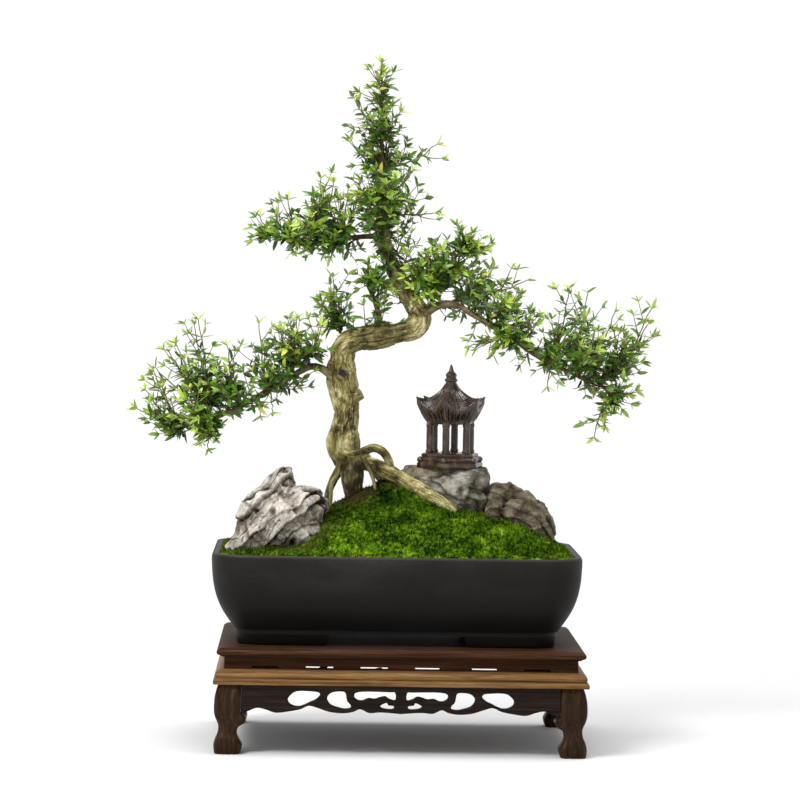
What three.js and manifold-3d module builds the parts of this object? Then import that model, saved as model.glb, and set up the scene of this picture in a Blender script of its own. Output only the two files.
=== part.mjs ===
// Serissa bonsai in the slanting, windswept style: the tree stands with stones, moss and a
// small fired-clay pavilion in a rounded rectangular pot, and the pot on a carved wooden stand.
// Millimetres, +Z up, +X to the right and -Y to the front, as the tree is viewed.
// The floor is z = 0, and the origin lies under the middle of the whole object.

import * as THREE from 'three';
import Module from 'manifold-3d';
import { mergeVertices } from 'three/addons/utils/BufferGeometryUtils.js';

const wasm = await Module();
wasm.setup();

// Driving dimensions

const MIDDLE_X = 10.5;            // the stand's middle lies this far right of the whole object's middle
const CLEAR = 0.3;                // gap between pieces that meet on uneven faces
const SOCKET = 0.6;               // how far a socket stands off a stone, measured along its own rays

const STAND_HALF_X = 206.6;       // widest line of the stand, at its moulding
const STAND_HALF_Y = 150;
const LEG_TOP = 77;               // top of the legs and aprons
const MOULDING_TOP = 93.5;
const WAIST_TOP = 107;
const BOARD_TOP = 116.5;
const LEG_INNER_X = 175.6;        // the aprons run between the legs' inner faces
const LEG_INNER_Y = 119;
const APRON_THICKNESS = 9;
const APRON_INSET = 5;            // how far the aprons' faces stand inside the moulding's line

const POT_X = -5.4;               // the pot stands a little left of the stand's middle
const POT_HALF_X = 205.7;
const POT_HALF_Y = 135;
const POT_BODY_BOTTOM = 134;
const POT_RIM = 217.5;
const POT_WALL = 8;
const POT_CORNER = 46;            // corner radius in plan, at the rim
const DRAIN_RADIUS = 11;
const DRAIN_X = 95;               // the two drainage holes lie this far left and right
const MESH_RADIUS = 21;
const MESH_THICKNESS = 1.5;

const MOSS_THICKNESS = 4;
const MOUND_BASE = 214;
const SWELL_HEIGHT = 9;           // the mound: a low swell over the whole pot,
const DOME_HEIGHT = 38;           // a broad dome round the trunk's foot
const SHOULDER_HEIGHT = 33;       // and a shoulder under the thick root

const PAVILION_X = 55;
const PAVILION_Y = 15;
const PAVILION_BOTTOM = 310;
const PAVILION_TURN = 16.6;       // degrees that the six corners are turned from the X axis
const COLUMN_CIRCLE = 24.4;
const COLUMN_RADIUS = 4;

const LEAF_LENGTH = 17;
const LEAF_HALF_WIDTH = 3.1;
const LEAF_THICKNESS = 0.9;
const LEAF_GAP = 0.6;             // kept between a leaf and anything of another shoot
const TWIG_RADIUS = 1.25;
const PAIR_STEP = 21.4;           // leaf pairs stand about this far apart along a shoot
const TIP_LEAVES = 11;            // how far the end leaves reach past the twig
const FORK_REACH = 11;            // a spray forks this far from the middle of the branch it grows from
const TURNS_TRIED = 5;

const COLOURS = {
  stand: 0x2f1710, moulding: 0x7a5230, pot: 0x2b2725, mesh: 0x30343a, soil: 0x2c2118,
  moss: 0x4f7d1c, stone: 0x9a938a, darkStone: 0x6f675f, pavilion: 0x3a2722, bark: 0x94875f, leaf: 0x3f7a26,
};

const finish = (name, roughness) => new THREE.MeshStandardMaterial({
  color: COLOURS[name],
  roughness,
  metalness: 0,
});

const FINISHES = {
  stand: finish('stand', 0.35),
  moulding: finish('moulding', 0.45),
  pot: finish('pot', 0.75),
  mesh: finish('mesh', 0.6),
  soil: finish('soil', 0.95),
  moss: finish('moss', 0.95),
  stone: finish('stone', 0.9),
  darkStone: finish('darkStone', 0.9),
  pavilion: finish('pavilion', 0.5),
  bark: finish('bark', 0.85),
  leaf: finish('leaf', 0.5),
};

// Small tools of shape

const bonsai = new THREE.Group();
bonsai.position.set(MIDDLE_X, 0, 0);

function place(name, geometry, material) {
  const mesh = new THREE.Mesh(geometry, material);
  mesh.name = name;
  bonsai.add(mesh);
}

// Repeatable draws between 0 and 1.
function draws(seed) {
  let state = seed >>> 0;
  return () => {
    state = (Math.imul(state, 1664525) + 1013904223) >>> 0;
    return state / 4294967296;
  };
}

function solidOf(geometry) {
  const bare = geometry.clone();
  bare.deleteAttribute('normal');
  bare.deleteAttribute('uv');
  const merged = mergeVertices(bare, 1e-4);
  return new wasm.Manifold(new wasm.Mesh({
    numProp: 3,
    vertProperties: Float32Array.from(merged.attributes.position.array),
    triVerts: Uint32Array.from(merged.index.array),
  }));
}

function geometryOf(solid) {
  const mesh = solid.getMesh();
  const geometry = new THREE.BufferGeometry();
  geometry.setAttribute('position', new THREE.BufferAttribute(mesh.vertProperties, 3));
  geometry.setIndex(new THREE.BufferAttribute(mesh.triVerts, 1));
  return geometry;
}

function fuse(solids) {
  let row = solids;
  while (row.length > 1) {
    const next = [];
    for (let i = 0; i < row.length; i += 2) {
      next.push(i + 1 < row.length ? row[i].add(row[i + 1]) : row[i]);
    }
    row = next;
  }
  return row[0];
}

// The largest body of a cut solid, without the loose scraps.
function largest(solid) {
  const bodies = solid.decompose();
  return bodies.reduce((best, body) => (body.volume() > best.volume() ? body : best));
}

// A closed skin over rings of equally many points, each counter-clockwise seen from the last ring's side.
function loft(rings) {
  const count = rings[0].length;
  const index = [];
  for (let i = 0; i + 1 < rings.length; i += 1) {
    for (let j = 0; j < count; j += 1) {
      const a = i * count + j;
      const b = i * count + ((j + 1) % count);
      index.push(a, b, b + count, a, b + count, a + count);
    }
  }
  const last = (rings.length - 1) * count;
  for (let j = 1; j + 1 < count; j += 1) {
    index.push(0, j + 1, j);
    index.push(last, last + j, last + j + 1);
  }
  const geometry = new THREE.BufferGeometry();
  geometry.setAttribute('position', new THREE.Float32BufferAttribute(rings.flat().flat(), 3));
  geometry.setIndex(index);
  return geometry;
}

// A ring of points at height z round a rectangle with round corners.
function roundedRing(middleX, middleY, halfX, halfY, radius, perCorner, z) {
  const corners = [[1, 1], [-1, 1], [-1, -1], [1, -1]];
  return corners.flatMap(([sx, sy], corner) => {
    const points = [];
    for (let i = 0; i < perCorner; i += 1) {
      const angle = (corner + i / Math.max(1, perCorner - 1)) * Math.PI / 2;
      points.push([
        middleX + sx * (halfX - radius) + radius * Math.cos(angle),
        middleY + sy * (halfY - radius) + radius * Math.sin(angle),
        z,
      ]);
    }
    return points;
  });
}

function box(x0, x1, y0, y1, z0, z1) {
  const geometry = new THREE.BoxGeometry(x1 - x0, y1 - y0, z1 - z0);
  geometry.translate((x0 + x1) / 2, (y0 + y1) / 2, (z0 + z1) / 2);
  return geometry;
}

function uprightCylinder(x, y, z0, z1, radius, sides) {
  const geometry = new THREE.CylinderGeometry(radius, radius, z1 - z0, sides);
  geometry.rotateX(Math.PI / 2);
  geometry.translate(x, y, (z0 + z1) / 2);
  return geometry;
}

// A direction that no limb runs in: the first side of every ring that is carried along a line.
const FIRST_SIDE = new THREE.Vector3(0.31, 0.94, 0.12);

// A limb along a smooth line through points [x, y, z, radius]. Its ring is carried along without twist.
// With flutes, the radius swells and sinks round the limb, as old bark does.
function limb(points, sides, grow = 0, flutes = 0) {
  const places = points.map(([x, y, z]) => new THREE.Vector3(x, y, z));
  const line = new THREE.CatmullRomCurve3(places, false, 'centripetal');
  const side = FIRST_SIDE.clone();
  return loft(points.map(([, , , radius], i) => {
    const at = i / (points.length - 1);
    const along = line.getTangent(at);
    side.addScaledVector(along, -side.dot(along)).normalize();
    const across = new THREE.Vector3().crossVectors(along, side);
    return Array.from({ length: sides }, (_, j) => {
      const angle = 2 * Math.PI * j / sides;
      const swell = 1 + flutes * (Math.sin(2 * angle + 11 * at) + 0.7 * Math.sin(3 * angle - 17 * at));
      const reach = radius * swell + grow;
      const point = places[i].clone();
      point.addScaledVector(side, reach * Math.cos(angle));
      point.addScaledVector(across, reach * Math.sin(angle));
      return point.toArray();
    });
  }));
}

// Wood: the trunk, its roots and its main branches, grown as one piece

const TRUNK = [
  [-55, 4, 248, 8], [-56, 4, 271, 7.6], [-56, 3, 294, 11.6], [-58, 2, 311, 13.4], [-65, 0, 328, 17.2],
  [-66, -1, 339, 17], [-65, -1, 353, 14.4], [-63, 0, 371, 13.9], [-66, 0, 389, 15], [-69, 0, 403, 15.7],
  [-71, -1, 416, 13.8], [-71, -2, 430, 12.9], [-70, -4, 442, 13.4], [-63, -6, 450, 13.2],
  [-50, -8, 454, 12.6], [-27, -9, 458, 12.6], [-4, -7, 463.5, 12.2], [12, -3, 468.5, 14],
  [19, 4, 480, 13.6], [9, 8, 499, 10.4],
  [-5, 8, 520, 9.2], [-19, 6, 547, 8.5], [-26, 4, 573, 7], [-28, 2, 603, 5.3], [-27, 0, 647, 3.4],
  [-29, -4, 686, 2.3], [-29, -8, 722, 1.5],
];

const ROOTS = [
  // The thick root that runs right, over the mound
  [[-57, 0, 319, 10], [-38, -6, 321, 10.5], [-20, -9, 311, 10.2], [-2, -12, 300, 8.2], [16, -16, 289, 6.6],
    [34, -21, 277, 6.3], [50, -25, 266, 5.8], [66, -29, 252, 4.6]],
  // The root that arches in front of the trunk's foot
  [[-68, -8, 330, 4.2], [-60, -16, 325, 3.7], [-47, -18, 327, 3.6], [-36, -19, 331, 3.7],
    [-24, -18, 328, 3.6], [-15, -15, 321, 3.3]],
  // Thin roots that hang free beside the foot, left and middle
  [[-65, -2, 322, 3.2], [-71, -8, 314, 2.7], [-73, -9, 302, 2.5], [-79, -9, 291, 2.4], [-80, -9, 276, 2.2],
    [-81, -9, 250, 1.8]],
  [[-45, -6, 323, 2.6], [-41, -11, 314, 2.1], [-35, -13, 303, 1.9], [-31, -13, 291, 1.8],
    [-28, -13, 262, 1.5]],
  // The roots behind
  [[-45, 6, 322, 7.2], [-31, 14, 307, 5.6], [-20, 22, 290, 4.6], [-6, 32, 262, 3.6]],
  [[-62, 4, 322, 6.4], [-70, 16, 306, 4.8], [-80, 26, 286, 4], [-90, 36, 246, 3.2]],
];

const BRANCHES = [
  // Cut stub on the right side of the trunk, and the dark knot on its left
  [[-62, 0, 385, 9], [-54, -3, 390, 9], [-47, -4, 394, 7]],
  [[-69, -4, 411, 7], [-70, -17, 415.5, 5.8]],
  // Left branch
  [[-72, -4, 407, 6], [-82, -6, 413, 4.6], [-93, -8, 421, 3.8], [-104, -11, 423, 3.5],
    [-116, -14, 418, 3.4], [-130, -17, 409, 3.4], [-146, -19, 399, 3.2], [-161, -20, 390, 3],
    [-180, -19, 379, 2.7], [-209, -14, 364, 2], [-233, -9, 353, 1.5]],
  // Upper left branch
  [[-24, 4, 568, 3.8], [-36, 1, 571, 3], [-55, -3, 570, 2.6], [-75, -7, 568, 2.4], [-98, -10, 565, 2],
    [-118, -10, 564, 1.8], [-141, -7, 570, 1.5]],
  // Right branch
  [[18, 0, 479, 5], [31, -4, 490, 4.2], [46, -8, 496, 3.7], [61, -11, 494, 3.5], [76, -13, 485, 3.4],
    [94, -16, 475, 3.3], [111, -18, 465, 3.3], [128, -19, 455, 3.3], [143, -19, 445, 3.2],
    [160, -18, 434, 2.9], [183, -14, 423, 2.5], [210, -8, 411, 1.9], [229, -4, 404, 1.5]],
  // Short branches over the knee, right and left
  [[22, 2, 482, 4.4], [31, 4, 497, 2.9], [35, 6, 511, 2.5], [43, 8, 525, 2.1], [58, 10, 550, 1.5]],
  [[-26, -6, 462, 4.4], [-30, 0, 487, 2.9], [-36, 5, 503, 2.2], [-43, 8, 517, 1.7]],
];

function woodSolids(grow) {
  return [
    solidOf(limb(TRUNK, 11, grow, 0.045)),
    ...ROOTS.map((points, i) => solidOf(limb(points, i === 0 ? 7 : 5, grow))),
    ...BRANCHES.map((points) => solidOf(limb(points, 5, grow))),
  ];
}

const wood = fuse(woodSolids(0));
const woodSocket = fuse(woodSolids(CLEAR));
place('trunk_roots_branches', geometryOf(wood), FINISHES.bark);

// Leafy sprays

// Each spray forks from one point of the wood, [x, y, z], to the tips of its shoots.
const SPRAYS = {
  left_1: [[-233, -8, 352], [-308, -28, 376], [-269, 22, 342]],
  left_2: [[-209, -14, 363], [-220, -42, 321], [-250, -72, 389]],
  left_3: [[-203, -15, 366], [-272, -8, 444], [-241, 15, 477]],
  left_4: [[-181, -19, 379], [-201, -45, 455], [-249, 60, 397]],
  left_5: [[-153, -20, 394], [-145, -48, 364], [-166, 8, 479]],
  left_6: [[-128, -17, 410], [-139, -55, 473], [-120, -12, 487]],
  left_7: [[-106, -11, 422], [-91, -48, 474], [-135, 52, 445]],
  upper_1: [[-139, -7, 569], [-180, -25, 562], [-170, 15, 598]],
  upper_2: [[-114, -10, 564], [-136, -15, 620], [-130, -32, 546]],
  upper_3: [[-92, -9, 566], [-97, 22, 645], [-122, -60, 585]],
  upper_4: [[-66, -5, 569], [-88, -22, 540], [-95, 58, 601]],
  middle_1: [[-68, -6, 452], [-83, -8, 534], [-98, 32, 495]],
  middle_2: [[-42, 8, 515], [-48, 6, 539], [-8, -38, 509]],
  top_1: [[-29, -8, 721], [-31, -10, 776]],
  top_2: [[-28, -2, 669], [-60, -18, 732], [-4, -20, 719]],
  top_3: [[-27, 1, 636], [-72, 15, 684], [43, 10, 681]],
  top_4: [[-28, 2, 611], [12, -50, 650], [-66, -46, 618]],
  top_5: [[-27, 3, 588], [41, -15, 599], [-34, 62, 634]],
  core_1: [[57, 10, 549], [68, 5, 581], [100, -15, 560]],
  core_2: [[43, 8, 526], [83, -60, 521], [25, 56, 547]],
  core_3: [[34, 6, 508], [-1, -45, 540], [67, 50, 532]],
  core_4: [[48, -8, 496], [149, 15, 527], [109, 55, 542]],
  right_1: [[94, -16, 475], [136, 38, 510], [115, -58, 502]],
  right_2: [[128, -19, 455], [64, -40, 447], [160, -42, 489]],
  right_3: [[160, -18, 434], [189, 0, 525], [160, -45, 397]],
  right_4: [[179, -15, 425], [213, 35, 519], [217, -78, 450]],
  right_5: [[198, -11, 416], [241, -30, 498], [227, 74, 442]],
  right_6: [[217, -6, 408], [287, 8, 502], [277, 45, 446]],
  right_7: [[228, -4, 404], [273, -20, 401], [213, -25, 340]],
};

const BEND_OUT = 0.6;             // where a shoot bends, as a share of its way sideways
const BEND_UP = 0.42;             // and of its way up

// A shoot leaves its fork sideways, turns towards its tip and stops where its last leaves reach the tip.
function shootLine(fork, tip) {
  const start = new THREE.Vector3(...fork);
  const reach = new THREE.Vector3(...tip).sub(start);
  const end = start.clone().addScaledVector(reach, 1 - TIP_LEAVES / reach.length());
  const bend = start.clone().lerp(end, BEND_OUT);
  bend.z = start.z + BEND_UP * (end.z - start.z);
  return new THREE.CatmullRomCurve3([start, bend, end], false, 'centripetal');
}

// The fork stands clear of the wood, between the directions of the two shoots.
function forkPoint(root, tips) {
  const from = new THREE.Vector3(...root);
  const out = new THREE.Vector3();
  tips.forEach((tip) => out.add(new THREE.Vector3(...tip).sub(from).normalize()));
  return from.addScaledVector(out.normalize(), FORK_REACH).toArray();
}

// Shortest distance between two rods {a, b}.
function distanceBetween(one, other) {
  const u = new THREE.Vector3().subVectors(one.b, one.a);
  const v = new THREE.Vector3().subVectors(other.b, other.a);
  const w = new THREE.Vector3().subVectors(one.a, other.a);
  const uu = Math.max(u.dot(u), 1e-9);
  const uv = u.dot(v);
  const vv = Math.max(v.dot(v), 1e-9);
  const uw = u.dot(w);
  const vw = v.dot(w);
  let s = THREE.MathUtils.clamp((uv * vw - vv * uw) / Math.max(uu * vv - uv * uv, 1e-9), 0, 1);
  const t = THREE.MathUtils.clamp((uv * s + vw) / vv, 0, 1);
  s = THREE.MathUtils.clamp((uv * t - uw) / uu, 0, 1);
  return w.addScaledVector(u, s).addScaledVector(v, -t).length();
}

function rodsAlong(points, owner) {
  return points.slice(1).map((point, i) => ({
    owner,
    a: new THREE.Vector3(...points[i].slice(0, 3)),
    b: new THREE.Vector3(...point.slice(0, 3)),
    radius: Math.max(points[i][3], point[3]),
  }));
}

const taken = [TRUNK, ...ROOTS, ...BRANCHES].flatMap((points) => rodsAlong(points, 'wood'));

function isFree(rod, owner) {
  return taken.every((other) => (
    other.owner === owner || distanceBetween(rod, other) > rod.radius + other.radius + LEAF_GAP
  ));
}

// The frames of a shoot: where it is, which way it runs and two sides, at each share of its length.
function framesAlong(line, shares) {
  const side = FIRST_SIDE.clone();
  return shares.map((share) => {
    const centre = line.getPointAt(share);
    const along = line.getTangentAt(share);
    side.addScaledVector(along, -side.dot(along)).normalize();
    return { centre, along, side: side.clone(), across: new THREE.Vector3().crossVectors(along, side) };
  });
}

function outward(frame, turn) {
  return frame.side.clone().multiplyScalar(Math.cos(turn)).addScaledVector(frame.across, Math.sin(turn));
}

const LEAN = 1;                   // radians between a leaf and its twig
const END_LEAN = 0.62;            // and between the end pair and its twig
const LEAF_FOOT = 1.4 * TWIG_RADIUS;
const WIDEST_AT = 0.45;           // where a leaf is widest, as a share of its length

// The places of a shoot's leaf pairs. Each pair stands crosswise to the last.
function leafPlaces(line, turn, random) {
  const length = line.getLength();
  const pairs = THREE.MathUtils.clamp(Math.round(length / PAIR_STEP), 2, 6);
  const foot = LEAF_FOOT / length;
  return Array.from({ length: pairs }, (_, pair) => {
    const last = pair + 1 === pairs;
    const share = last ? 1 - foot : (pair + 0.8) / pairs;
    const [frame] = framesAlong(line, [share]);
    const lean = last ? END_LEAN : LEAN;
    const leaves = [pair % 2, (pair % 2) + 2].map((face) => {
      const out = outward(frame, turn + face * Math.PI / 2);
      const direction = out.multiplyScalar(Math.sin(lean)).addScaledVector(frame.along, Math.cos(lean));
      return { face, direction, length: LEAF_LENGTH * (0.85 + 0.3 * random()) };
    });
    return { share, foot, frame, leaves };
  });
}

// A shoot and its leaves as one skin: a square twig, each leaf growing out of one face of a short step of it.
function leafyShoot(line, places, turn) {
  const shares = [0, ...places.flatMap(({ share, foot }) => [share, share + foot])];
  const frames = framesAlong(line, shares);
  const points = frames.flatMap((frame, ring) => [0, 1, 2, 3].map((corner) => {
    const radius = TWIG_RADIUS * (1 - 0.3 * ring / frames.length);
    const out = outward(frame, turn + (corner - 0.5) * Math.PI / 2);
    return frame.centre.clone().addScaledVector(out, radius);
  }));
  const index = [0, 2, 1, 0, 3, 2];
  for (let ring = 0; ring + 1 < frames.length; ring += 1) {
    const place = ring % 2 === 1 ? places[(ring - 1) / 2] : null;
    for (let face = 0; face < 4; face += 1) {
      const a0 = ring * 4 + face;
      const a1 = ring * 4 + ((face + 1) % 4);
      const b0 = a0 + 4;
      const b1 = a1 + 4;
      const leaf = place?.leaves.find((one) => one.face === face);
      if (!leaf) {
        index.push(a0, a1, b1, a0, b1, b0);
        continue;
      }
      const { along } = place.frame;
      const across = points[a1].clone().sub(points[a0]).normalize();
      const up = along.clone().addScaledVector(leaf.direction, -along.dot(leaf.direction)).normalize();
      const foot = points[a0].clone().lerp(points[a1], 0.5);
      const wide = foot.clone().addScaledVector(leaf.direction, WIDEST_AT * leaf.length);
      const halfWidth = LEAF_HALF_WIDTH * leaf.length / LEAF_LENGTH;
      const left = points.push(wide.clone().addScaledVector(across, -halfWidth)) - 1;
      const right = points.push(wide.clone().addScaledVector(across, halfWidth)) - 1;
      const ridge = points.push(wide.clone().addScaledVector(up, LEAF_THICKNESS)) - 1;
      const tip = points.push(foot.clone().addScaledVector(leaf.direction, leaf.length)) - 1;
      index.push(a0, a1, right, a0, right, left, a0, left, b0, b0, left, ridge, b0, ridge, b1);
      index.push(b1, ridge, right, b1, right, a1, left, right, tip, left, tip, ridge, right, ridge, tip);
    }
  }
  const end = (frames.length - 1) * 4;
  index.push(end, end + 1, end + 2, end, end + 2, end + 3);
  const geometry = new THREE.BufferGeometry();
  geometry.setAttribute('position', new THREE.Float32BufferAttribute(points.flatMap((p) => p.toArray()), 3));
  geometry.setIndex(index);
  return geometry;
}

// Of the turns tried round a shoot, the one that keeps most leaves clear of everything else is used.
function bestPlaces(line, owner, seed) {
  let best = null;
  for (let tried = 0; tried < TURNS_TRIED; tried += 1) {
    const turn = tried * Math.PI / (2 * TURNS_TRIED);
    const places = leafPlaces(line, turn, draws(seed));
    places.forEach((place) => {
      place.leaves = place.leaves.filter((leaf) => {
        leaf.rod = {
          owner,
          a: place.frame.centre.clone().addScaledVector(leaf.direction, 0.3 * leaf.length),
          b: place.frame.centre.clone().addScaledVector(leaf.direction, leaf.length),
          radius: LEAF_HALF_WIDTH,
        };
        return isFree(leaf.rod, owner);
      });
    });
    const count = places.reduce((sum, place) => sum + place.leaves.length, 0);
    if (!best || count > best.count) best = { turn, places, count };
  }
  best.places.forEach((place) => place.leaves.forEach((leaf) => taken.push(leaf.rod)));
  return best;
}

const sprays = Object.entries(SPRAYS).map(([name, [root, ...tips]]) => {
  const fork = tips.length > 1 ? forkPoint(root, tips) : root;
  return { name, root, fork, lines: tips.map((tip) => shootLine(fork, tip)) };
});

sprays.forEach(({ name, lines }) => lines.forEach((line, i) => {
  const points = line.getPoints(4).map((point) => [...point.toArray(), TWIG_RADIUS]);
  taken.push(...rodsAlong(points, `${name}_${i}`));
}));

sprays.forEach(({ name, root, fork, lines }, row) => {
  const shoots = lines.map((line, i) => {
    const { turn, places } = bestPlaces(line, `${name}_${i}`, 101 + 17 * row + 7 * i);
    return solidOf(leafyShoot(line, places, turn));
  });
  const foot = limb([[...root, 1.3 * TWIG_RADIUS], [...fork, 1.2 * TWIG_RADIUS]], 4);
  const parts = fork === root ? shoots : [solidOf(foot), ...shoots];
  const whole = fuse(parts).subtract(woodSocket);
  place(`leaf_spray_${name}`, geometryOf(largest(whole)), FINISHES.leaf);
});

// Stones

// The layers of a stone from its front, -1, to its back, 1
const STONE_LAYERS = [-0.97, -0.74, -0.3, 0.22, 0.7, 0.97];

// A stone is star-shaped round its middle: its outline, as [x, z] points seen from the front, shrinks to
// the front and the back as a ball does, and a sum of slanting waves makes it craggy.
function stone({ middle, outline, front, back, crag, seed }, grow = 0) {
  const random = draws(seed);
  const waves = Array.from({ length: 5 }, () => {
    const slant = new THREE.Vector3(random(), random(), random()).subScalar(0.3).multiplyScalar(0.2);
    return { slant, start: 6 * random() };
  });
  const rings = STONE_LAYERS.map((layer) => outline.map(([x, z]) => {
    const shrink = Math.sqrt(1 - layer * layer);
    const depth = layer < 0 ? front : back;
    const out = new THREE.Vector3((x - middle[0]) * shrink, layer * depth, (z - middle[2]) * shrink);
    const wave = waves.reduce((sum, { slant, start }) => sum + Math.sin(slant.dot(out) + start), 0);
    const length = out.length();
    out.multiplyScalar((length + crag * wave + grow) / length);
    return [middle[0] + out.x, middle[1] + out.y, middle[2] + out.z];
  }));
  return solidOf(loft(rings));
}

const STONES = {
  stone_left: {
    middle: [-137, -55, 255], front: 42, back: 40, crag: 0.88, seed: 5, finish: 'stone',
    outline: [[-197, 214], [-190, 232], [-188, 254], [-183, 269], [-172, 281], [-155, 294], [-139, 314],
      [-124, 313], [-121, 297], [-104, 292], [-89, 285], [-82, 268], [-84, 252], [-79, 238], [-84, 214],
      [-140, 204]],
  },
  stone_front: {
    middle: [62, -4, 284], front: 17, back: 24, crag: 0.4, seed: 71, flat: true, finish: 'stone',
    outline: [[14, 278], [19, 294], [28, 301], [54, 304], [72, 310], [86, 312], [95, 305], [101, 293],
      [99, 276], [90, 256], [55, 248], [26, 258]],
  },
  stone_ledge: {
    middle: [45, 28, 287], front: 38, back: 40, crag: 0.5, seed: 21, flat: true, finish: 'darkStone',
    outline: [[-10, 266], [-8, 290], [0, 305], [14, 318], [60, 324], [92, 318], [101, 298], [95, 264],
      [50, 250], [6, 252]],
  },
  stone_small: {
    middle: [119, 6, 276], front: 20, back: 24, crag: 0.48, seed: 33, finish: 'darkStone',
    outline: [[99, 256], [99, 284], [110, 295], [125, 293], [138, 282], [139, 256], [120, 238]],
  },
  stone_right: {
    middle: [144, -14, 250], front: 32, back: 36, crag: 0.8, seed: 45, finish: 'darkStone',
    outline: [[108, 240], [112, 262], [124, 276], [143, 283], [161, 270], [171, 254], [175, 236], [170, 216],
      [140, 208], [114, 216]],
  },
  stone_low: {
    middle: [103, -30, 264], front: 13, back: 14, crag: 0.32, seed: 57, finish: 'darkStone',
    outline: [[93, 258], [95, 273], [103, 278], [111, 272], [113, 254], [104, 244], [95, 248]],
  },
};

// Two stones are flat on top, where the pavilion stands. A stone makes room for the wood and earlier stones.
const aboveLedge = solidOf(box(-60, 160, -80, 110, PAVILION_BOTTOM, PAVILION_BOTTOM + 40));
const stoneSockets = [];
Object.entries(STONES).forEach(([name, shape]) => {
  const room = fuse([woodSocket, ...stoneSockets, ...(shape.flat ? [aboveLedge] : [])]);
  place(name, geometryOf(largest(stone(shape).subtract(room))), FINISHES[shape.finish]);
  stoneSockets.push(stone(shape, SOCKET));
});
const stoneSocket = fuse(stoneSockets);

// Pavilion, fired in one piece: a stepped six-sided base, six columns and a roof with a finial

function sixSided(height, corner, middle = corner * Math.cos(Math.PI / 6), lift = 0) {
  return Array.from({ length: 12 }, (_, i) => {
    const angle = PAVILION_TURN * Math.PI / 180 + i * Math.PI / 6;
    const radius = i % 2 === 0 ? corner : middle;
    const rise = i % 2 === 0 ? lift : 0;
    return [PAVILION_X + radius * Math.cos(angle), PAVILION_Y + radius * Math.sin(angle), height + rise];
  });
}

function pavilion() {
  const base = loft([
    sixSided(PAVILION_BOTTOM, 38), sixSided(312, 39.5), sixSided(315.5, 39), sixSided(317, 36.5),
    sixSided(320, 36.5), sixSided(321.5, 34), sixSided(326, 32.5),
  ]);
  const roof = loft([
    sixSided(359.5, 27, 24), sixSided(365, 30, 26), sixSided(372.5, 39.5, 31, 11),
    sixSided(377, 41, 32.5, 12.5), sixSided(381, 30, 25, 5.5), sixSided(388, 20, 17.5, 2),
    sixSided(396, 12.5, 11.5), sixSided(404, 8, 7.5), sixSided(407, 6.5, 6.2), sixSided(409, 7.4, 7),
    sixSided(411, 6, 5.6), sixSided(415, 6, 5.8), sixSided(418.5, 3.2, 3), sixSided(423, 2.2, 2),
    sixSided(427, 0.9, 0.8),
  ]);
  const columns = Array.from({ length: 6 }, (_, i) => {
    const angle = PAVILION_TURN * Math.PI / 180 + i * Math.PI / 3;
    const x = PAVILION_X + COLUMN_CIRCLE * Math.cos(angle);
    const y = PAVILION_Y + COLUMN_CIRCLE * Math.sin(angle);
    return solidOf(uprightCylinder(x, y, 324, 362, COLUMN_RADIUS, 6));
  });
  return fuse([solidOf(base), solidOf(roof), ...columns]);
}

place('pavilion', geometryOf(pavilion()), FINISHES.pavilion);

// Pot: a rounded rectangle in plan, bellied wall, open inside, on four corner feet

const POT_PROFILE = [
  [134, 25], [138.5, 22], [146, 17], [154, 12], [163, 7.7], [174, 4], [188, 1.3], [204, 0], [215, 0],
  [POT_RIM, 1.2],
];

const OUTER_STEPS = 5;            // points on each outer corner of the pot
const INNER_STEPS = 3;            // and on each corner of its hollow, the soil and the moss

function potRing(inset, z, perCorner) {
  const radius = Math.max(POT_CORNER - 0.7 * inset, 18);
  return roundedRing(POT_X, 0, POT_HALF_X - inset, POT_HALF_Y - inset, radius, perCorner, z);
}

function potInset(z) {
  const upper = POT_PROFILE.findIndex(([height]) => height >= z);
  const [z0, inset0] = POT_PROFILE[Math.max(upper - 1, 0)];
  const [z1, inset1] = POT_PROFILE[Math.max(upper, 1)];
  return inset0 + (inset1 - inset0) * (z - z0) / (z1 - z0);
}

const POT_FLOOR = POT_BODY_BOTTOM + POT_WALL;
const INNER_RIM = 210;            // above this level the hollow widens no more
const INNER_LEVELS = [POT_FLOOR, 157, 183, INNER_RIM];
const FOOT_GAP_TOP = POT_BODY_BOTTOM - 5;
const FOOT_GAP_BOTTOM = BOARD_TOP - 5;
const FOOT_GAP_X = 69;            // half the way between the feet along the pot
const FOOT_GAP_Y = 42;            // and across it
const FOOT_INNER_X = 150;         // the feet's inner faces, from the pot's middle
const FOOT_INNER_Y = 86;
const innerInset = (z) => potInset(z) + POT_WALL;

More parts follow.
